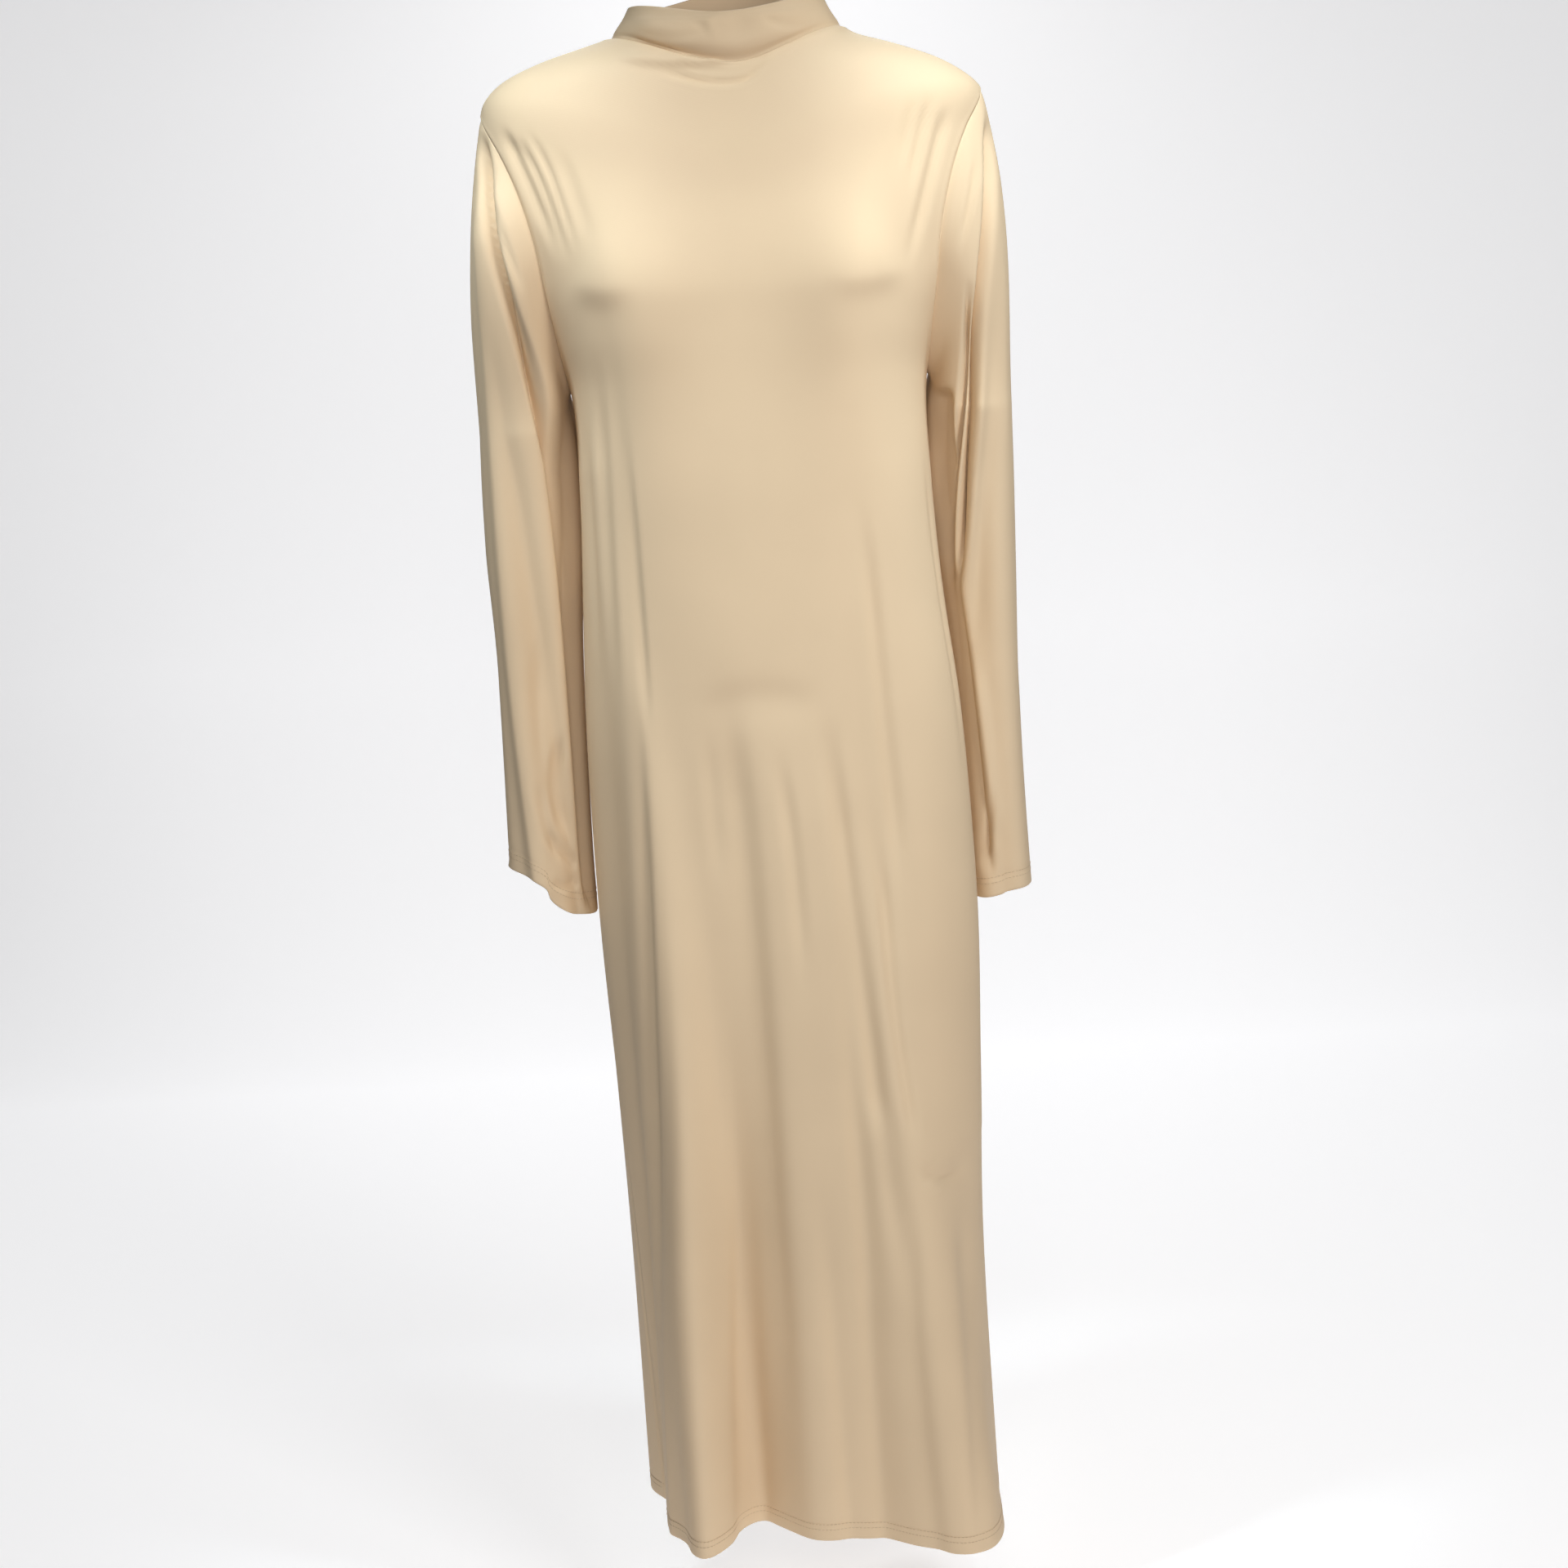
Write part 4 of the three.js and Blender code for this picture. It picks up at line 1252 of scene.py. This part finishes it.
@dataclass
class Sleeve:
    """Long set-in sleeve from the armhole to the cuff."""

    name: str
    node: str
    form: SleeveForm
    flat: tuple[float, float]
    area: float
    columns: int = 250
    hem: float = 18.0
    seam_rows: tuple[float, ...] = (0, 0.006, 0.013, 0.022)
    cap_start: float = 0.035
    cap_rows: int = 48
    tube_rows: int = 84
    tube_end: float = 1.94
    cuff_start: float = 1.945
    cuff_rows: int = 13
    seam_pull: float = 1.6  # how much farther than its dip a seam draws the cloth in
    under_seam_radius: float = 45.0
    under_seam_share: float = 0.6
    under_seam_start: float = 12.0
    uv_girth: float = 0.3
    uv_length: float = 0.4
    cuff_points: int = 700

    def build(self) -> bpy.types.Object:
        """Make the sleeve.

        Returns:
            The sleeve's cloth.
        """
        ring = (np.arange(self.columns) * 360 / self.columns)[None, :]
        cap = np.concatenate([self.seam_rows, np.linspace(self.cap_start, 1, self.cap_rows)])
        tube = np.linspace(1, self.tube_end, self.tube_rows)[1:]
        down = np.concatenate([cap, tube, np.linspace(self.cuff_start, 2, self.cuff_rows)])[:, None]
        points, normals = self.form.surface(ring, down)
        seam, seam_normals = self.form.body.surface(*self.form.armhole(ring[0]))
        seam = seam - seam_normals * SEAM_DIP
        top = lengths_from(points, 0)
        pull = near_seam(top, SEAM_REACH * self.seam_pull)[..., None]
        points = points + (seam - points[0])[None] * pull
        under = np.abs(turn(180.0, ring)) * RAD * self.under_seam_radius
        up = lengths_from(points[::-1], 0)[::-1]
        dip = -self.under_seam_share * SEAM_DIP * near_seam(under, SEAM_REACH)
        dip = dip * smooth(top / self.under_seam_start) + hem_dip(up, self.hem)
        points = points + normals * dip[..., None]
        thick = cloth_thickness(up, self.hem, top)
        u = np.arange(self.columns + 1) / self.columns * self.uv_girth
        return Wall(self.name, points, thick, normals, True, u, -down[:, 0] * self.uv_length).build()

    def cuff_line(self, above: float) -> tuple[Array, Array]:
        """Line that runs round the sleeve, a set distance above the cuff.

        Args:
            above: Distance above the cuff, in millimetres.

        Returns:
            Points of the line, and the outward normals there.
        """
        ring = np.linspace(0, 360, self.cuff_points)
        share = above / (CAP_END_Z - self.form.cuff_z)
        return self.form.surface(ring, np.full(ring.shape, 2 - share))


@dataclass
class Collar:
    """Funnel neck band, folded double at its top edge."""

    name: str
    node: str
    form: CollarForm
    flat: tuple[float, float]
    columns: int = 220
    rows: int = 26
    lowest_row: float = 0.06
    seam_rows: tuple[float, ...] = (0.04, 0.02, 0.0)
    seam_pull: float = 1.3
    double: float = 1.6
    uv_girth: float = 0.56
    uv_height: float = 0.05

    def build(self) -> bpy.types.Object:
        """Make the band.

        Returns:
            The band's cloth.
        """
        angle = (np.arange(self.columns) * 360 / self.columns)[None, :]
        up = np.concatenate([np.linspace(1, self.lowest_row, self.rows), self.seam_rows])[:, None]
        points, normals = self.form.surface(angle, up)
        seam, seam_normals = self.form.body.surface(np.zeros(angle.shape[1]), angle[0])
        seam = seam - seam_normals * SEAM_DIP
        low = lengths_from(points[::-1], 0)[::-1]
        pull = near_seam(low, SEAM_REACH * self.seam_pull)[..., None]
        points = points + (seam - points[-1])[None] * pull
        thick = self.double + ALLOWANCE * near_seam(low, ALLOWANCE_REACH)
        u = np.arange(self.columns + 1) / self.columns * self.uv_girth
        return Wall(self.name, points, thick, normals, True, u, up[:, 0] * self.uv_height).build()


def deselect_all() -> None:
    """Leave nothing selected, so that an operator acts only on the piece being made."""
    if bpy.context.object is not None and bpy.context.object.mode != "OBJECT":
        bpy.ops.object.mode_set(mode="OBJECT")
    bpy.ops.object.select_all(action="DESELECT")


def select_where(piece: bpy.types.Object, part: Part, test: Callable[[Vector], bool]) -> None:
    """Select edges or faces of a piece in edit mode by the place of their middles.

    Args:
        piece: The piece in edit mode.
        part: Whether edges or faces are meant.
        test: Tells from the middle of each one whether it is wanted.
    """
    bpy.ops.mesh.select_mode(type=part.value)
    bpy.ops.mesh.select_all(action="DESELECT")
    mesh = bmesh.from_edit_mesh(piece.data)
    if part is Part.EDGE:
        for edge in mesh.edges:
            edge.select_set(test((edge.verts[0].co + edge.verts[1].co) / 2))
    else:
        for face in mesh.faces:
            face.select_set(test(face.calc_center_median()))
    mesh.select_flush_mode()
    bmesh.update_edit_mesh(piece.data)


@dataclass
class Stitching:
    """Rows of short stitches that lie on the cloth, joined in one piece."""

    name: str
    stitch: float = 2.6
    gap: float = 0.9
    radius: float = 0.28
    sides: int = 6
    waist: float = 0.38  # where a stitch begins to taper, as a share of its length
    tip: float = 0.4
    sunk: float = 0.75
    raised: float = 0.15
    lines: list[tuple[Array, Array]] = field(default_factory=list)

    def along(self, line: tuple[Array, Array]) -> None:
        """Add a row of stitches along a line of points with normals."""
        self.lines.append(line)

    def grain(self) -> bpy.types.Object:
        """Model one stitch: a short rod of thread whose ends taper and sink into the cloth.

        Returns:
            The stitch, with the thread along Z and the outer side of the cloth along X.
        """
        half = self.stitch * MM / 2
        deselect_all()
        bpy.ops.mesh.primitive_cylinder_add(vertices=self.sides, radius=self.radius * MM, depth=2 * half)
        piece = bpy.context.object
        bpy.ops.object.mode_set(mode="EDIT")
        for share in (-self.waist, 0.0, self.waist):
            bpy.ops.mesh.select_all(action="SELECT")
            bpy.ops.mesh.bisect(plane_co=(0, 0, share * 2 * half), plane_no=(0, 0, 1))
        for end in (-half, half):
            select_where(piece, Part.FACE, lambda at, end=end: abs(at.z - end) < NEAR)
            bpy.ops.transform.resize(value=(self.tip, self.tip, 1), center_override=(0, 0, end))
            bpy.ops.transform.translate(value=(-self.sunk * self.radius * MM, 0, 0))
        bpy.ops.object.mode_set(mode="OBJECT")
        bpy.ops.object.shade_smooth()
        return piece

    def spots(self) -> Iterator[Matrix]:
        """Find where the stitches lie.

        Yields:
            The place and turn of every stitch of every row, in metres.
        """
        for line, normals in self.lines:
            run = lengths_from(line, 0)
            for start in np.arange(0, run[-1] - self.stitch, self.stitch + self.gap):
                along = start + self.stitch * np.array([0, 0.5, 1])
                first, middle, last = np.stack([np.interp(along, run, line[:, k]) for k in range(3)], -1)
                out = unit(np.array([np.interp(along[1], run, normals[:, k]) for k in range(3)]))
                ahead = unit(last - first)
                across = unit(np.cross(ahead, out))
                axes = np.stack([np.cross(across, ahead), across, ahead], -1)
                spot = Matrix(axes.tolist()).to_4x4()
                spot.translation = Vector(((middle + out * self.radius * self.raised) * MM).tolist())
                yield spot

    def build(self) -> bpy.types.Object:
        """Copy the stitch along every row and join the copies in one piece.

        Returns:
            The joined stitches.
        """
        grain = self.grain()
        copies = []
        for spot in self.spots():
            mesh = grain.data.copy()
            mesh.transform(spot)
            copy = bpy.data.objects.new(self.name, mesh)
            bpy.context.scene.collection.objects.link(copy)
            copies.append(copy)
        bpy.data.objects.remove(grain)
        deselect_all()
        for copy in copies:
            copy.select_set(True)
        bpy.context.view_layer.objects.active = copies[0]
        bpy.ops.object.join()
        piece = bpy.context.object
        piece.name = self.name
        piece.data.name = self.name
        return piece


@dataclass
class Dress:
    """The whole dress: front, back, two sleeves, neck band and their stitching."""

    body: BodyForm = BodyForm()
    hem_rows: tuple[float, ...] = (10.0, 15.0)  # rows of stitches above the edge
    cuff_rows: tuple[float, ...] = (12.0, 17.0)
    collar_flat: tuple[float, float] = (0.5, 0.05)

    def build(self) -> None:
        """Make and dress every piece."""
        thread = ThreadFinish().material()
        front_panel, front, back_panel, back = self.panels()
        hem = Stitching("hem_stitching")
        for panel in (front_panel, back_panel):
            for above in self.hem_rows:
                hem.along(panel.hem_line(above))
        hem_piece = self._stitched(hem, "front_jersey", thread)
        self.sleeves(thread)
        collar = self.collar()

    def panels(self) -> tuple[Panel, bpy.types.Object, Panel, bpy.types.Object]:
        """Make the front and the back.

        Returns:
            The front, its cloth, the back and its cloth.
        """
        front = Panel("front_cloth", "front_panel", self.body, True, 168, (0.56, 1.34), 0.64)
        back = Panel("back_cloth", "back_panel", self.body, False, 118, (0.56, 1.38), 0.68)
        pieces = []
        for panel, slot in ((front, "front_jersey"), (back, "back_jersey")):
            pieces.append(self._dressed(panel, slot, JerseyFinish(slot).material()))
        return front, pieces[0], back, pieces[1]

    def sleeves(self, thread: bpy.types.Material) -> None:
        """Make both sleeves with the stitching of their cuffs.

        Args:
            thread: Material of the stitches.
        """
        jersey = JerseyFinish("sleeve_jersey").material()
        for side, table, folds, creases, word in (
            (-1, SLEEVE_RIGHT, SLEEVE_RIGHT_FOLDS, SLEEVE_RIGHT_CREASES, "right"),
            (1, SLEEVE_LEFT, SLEEVE_LEFT_FOLDS, SLEEVE_LEFT_CREASES, "left"),
        ):
            form = SleeveForm(side, table, folds, creases, self.body)
            sleeve = Sleeve(f"sleeve_{word}_cloth", f"sleeve_{word}", form, (0.36, 0.66), 0.185)
            piece = self._dressed(sleeve, "sleeve_jersey", jersey)
            cuff = Stitching(f"cuff_stitching_{word}")
            for above in self.cuff_rows:
                cuff.along(sleeve.cuff_line(above))
            self._stitched(cuff, "sleeve_jersey", thread)

    def collar(self) -> bpy.types.Object:
        """Make the neck band.

        Returns:
            The band's cloth.
        """
        band = Collar("collar_cloth", "collar", CollarForm(self.body), self.collar_flat)
        # The band's colour is darkened to paint the shade that falls on it.
        return self._dressed(band, "collar_jersey", JerseyFinish("collar_jersey", SHADED_COLLAR_COLOR).material())

    @staticmethod
    def _dressed(part: Panel | Sleeve | Collar, slot: str, mat: bpy.types.Material) -> bpy.types.Object:
        """Make a part's cloth, tie it to the frame and give it its material.

        Args:
            part: The panel, sleeve or band to make.
            slot: Name of its colour slot; not used.
            mat: Its material.

        Returns:
            The part's cloth.
        """
        piece = part.build()
        piece.data.materials.append(mat)
        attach(piece, "root")
        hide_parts(part.node)
        log.info("%s: %d faces", piece.name, len(piece.data.polygons))
        return piece

    @staticmethod
    def _stitched(stitching: Stitching, slot: str, mat: bpy.types.Material) -> bpy.types.Object:
        """Make a piece of stitching and tie it to the frame.

        Args:
            stitching: The rows of stitches.
            slot: Name of the colour slot of its cloth; not used.
            mat: Material of the thread.

        Returns:
            The stitches.
        """
        piece = stitching.build()
        piece.data.materials.append(mat)
        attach(piece, "root")
        log.info("%s: %d faces", piece.name, len(piece.data.polygons))
        return piece


# ---- studio ----
WARM = (1.0, 0.985, 0.965)
COOL = (0.83, 0.95, 1.0)


@dataclass(frozen=True)
class Softbox:
    """Large soft lamp that points at a spot on the dress."""

    name: str
    place: tuple[float, float, float]
    aim: tuple[float, float, float]
    size: tuple[float, float]
    watts: float
    color: tuple[float, float, float] = (1.0, 1.0, 1.0)
    spread: float = 180

    def build(self) -> None:
        """Make the lamp."""
        data = bpy.data.lights.new(self.name, "AREA")
        data.shape = "RECTANGLE"
        data.size, data.size_y = self.size
        data.energy = self.watts
        data.color = self.color
        data.spread = math.radians(self.spread)
        lamp = bpy.data.objects.new(self.name, data)
        direction = Vector(self.aim) - Vector(self.place)
        lamp.location = self.place
        lamp.rotation_euler = direction.to_track_quat("-Z", "Y").to_euler()
        bpy.context.scene.collection.objects.link(lamp)


@dataclass
class Studio:
    """Pale paper backdrop, soft lamps and the camera."""

    floor_z: float = -1.47
    front_y: float = -0.7
    width: float = 3.4
    height: float = 2.4
    cove: float = 0.7
    cove_steps: int = 24
    lens: float = 56.03
    camera_place: tuple[float, float, float] = (0.0116, -2.235, -0.35)
    camera_pitch: float = 8.25
    camera_roll: float = -3.4
    sensor: float = 36.0
    room_color: tuple[float, float, float] = (0.95, 0.97, 1.0)
    room_light: float = 0.04

    def backdrop(self) -> None:
        """Sweep one sheet of paper from the floor up into the wall."""
        wall_y = self.front_y + self.width
        deselect_all()
        middle = (0, wall_y - self.width / 2, self.floor_z)
        bpy.ops.mesh.primitive_plane_add(size=self.width, location=middle)
        paper = bpy.context.object
        bpy.ops.object.transform_apply(location=True, rotation=False, scale=False)
        bpy.ops.object.mode_set(mode="EDIT")
        select_where(paper, Part.EDGE, lambda at: at.y > wall_y - NEAR)
        bpy.ops.mesh.extrude_region_move(TRANSFORM_OT_translate={"value": (0, 0, self.height)})
        select_where(paper, Part.EDGE, lambda at: at.y > wall_y - NEAR and at.z < self.floor_z + NEAR)
        bpy.ops.mesh.bevel(offset=self.cove, segments=self.cove_steps, affect="EDGES")
        bpy.ops.object.mode_set(mode="OBJECT")
        bpy.ops.object.shade_smooth()
        paper.name = "backdrop"
        paper.data.name = "backdrop"
        paper.data.materials.append(BackdropFinish().material())

    def lamps(self) -> None:
        """Make the soft lamps and the even light of the room."""
        for lamp in (
            Softbox("front_left", (1.3, -2.0, 0.25), (0.0, 0.0, -0.42), (0.7, 1.3), 25, WARM),
            Softbox("front", (0.1, -2.45, 0.0), (0.0, 0.0, -0.42), (0.9, 1.3), 19.3, WARM),
            Softbox("back", (0.0, 2.2, 1.3), (0.0, 0.0, -0.6), (0.9, 0.9), 26),
            Softbox("overhead_left", (0.55, -0.42, 1.05), (0.18, -0.1, -0.16),
                    (0.22, 0.22), 0.38, COOL, 19),
            Softbox("overhead_right", (-0.55, -0.42, 1.05), (-0.175, -0.1, -0.17),
                    (0.22, 0.22), 0.42, COOL, 19),
        ):
            lamp.build()
        world = bpy.data.worlds.new("room")
        world.use_nodes = True
        background = world.node_tree.nodes["Background"]
        background.inputs["Color"].default_value = (*self.room_color, 1.0)
        background.inputs["Strength"].default_value = self.room_light
        bpy.context.scene.world = world

    def camera(self) -> None:
        """Make the camera, level with the waist and turned a little about its own line of sight."""
        data = bpy.data.cameras.new("camera")
        data.sensor_width = self.sensor
        data.lens = self.lens
        camera = bpy.data.objects.new("camera", data)
        tilt = Matrix.Rotation((90 - self.camera_pitch) * RAD, 4, "X")
        roll = Matrix.Rotation(self.camera_roll * RAD, 4, "Z")
        camera.matrix_world = Matrix.Translation(self.camera_place) @ tilt @ roll
        bpy.context.scene.collection.objects.link(camera)
        bpy.context.scene.camera = camera

    def build(self) -> None:
        """Make the whole studio."""
        self.camera()
        self.backdrop()
        self.lamps()
        bpy.context.scene.view_settings.view_transform = "Standard"


def main() -> None:
    """Build the dress and the studio."""
    Dress().build()
    Studio().build()


if __name__ == "__main__":
    main()
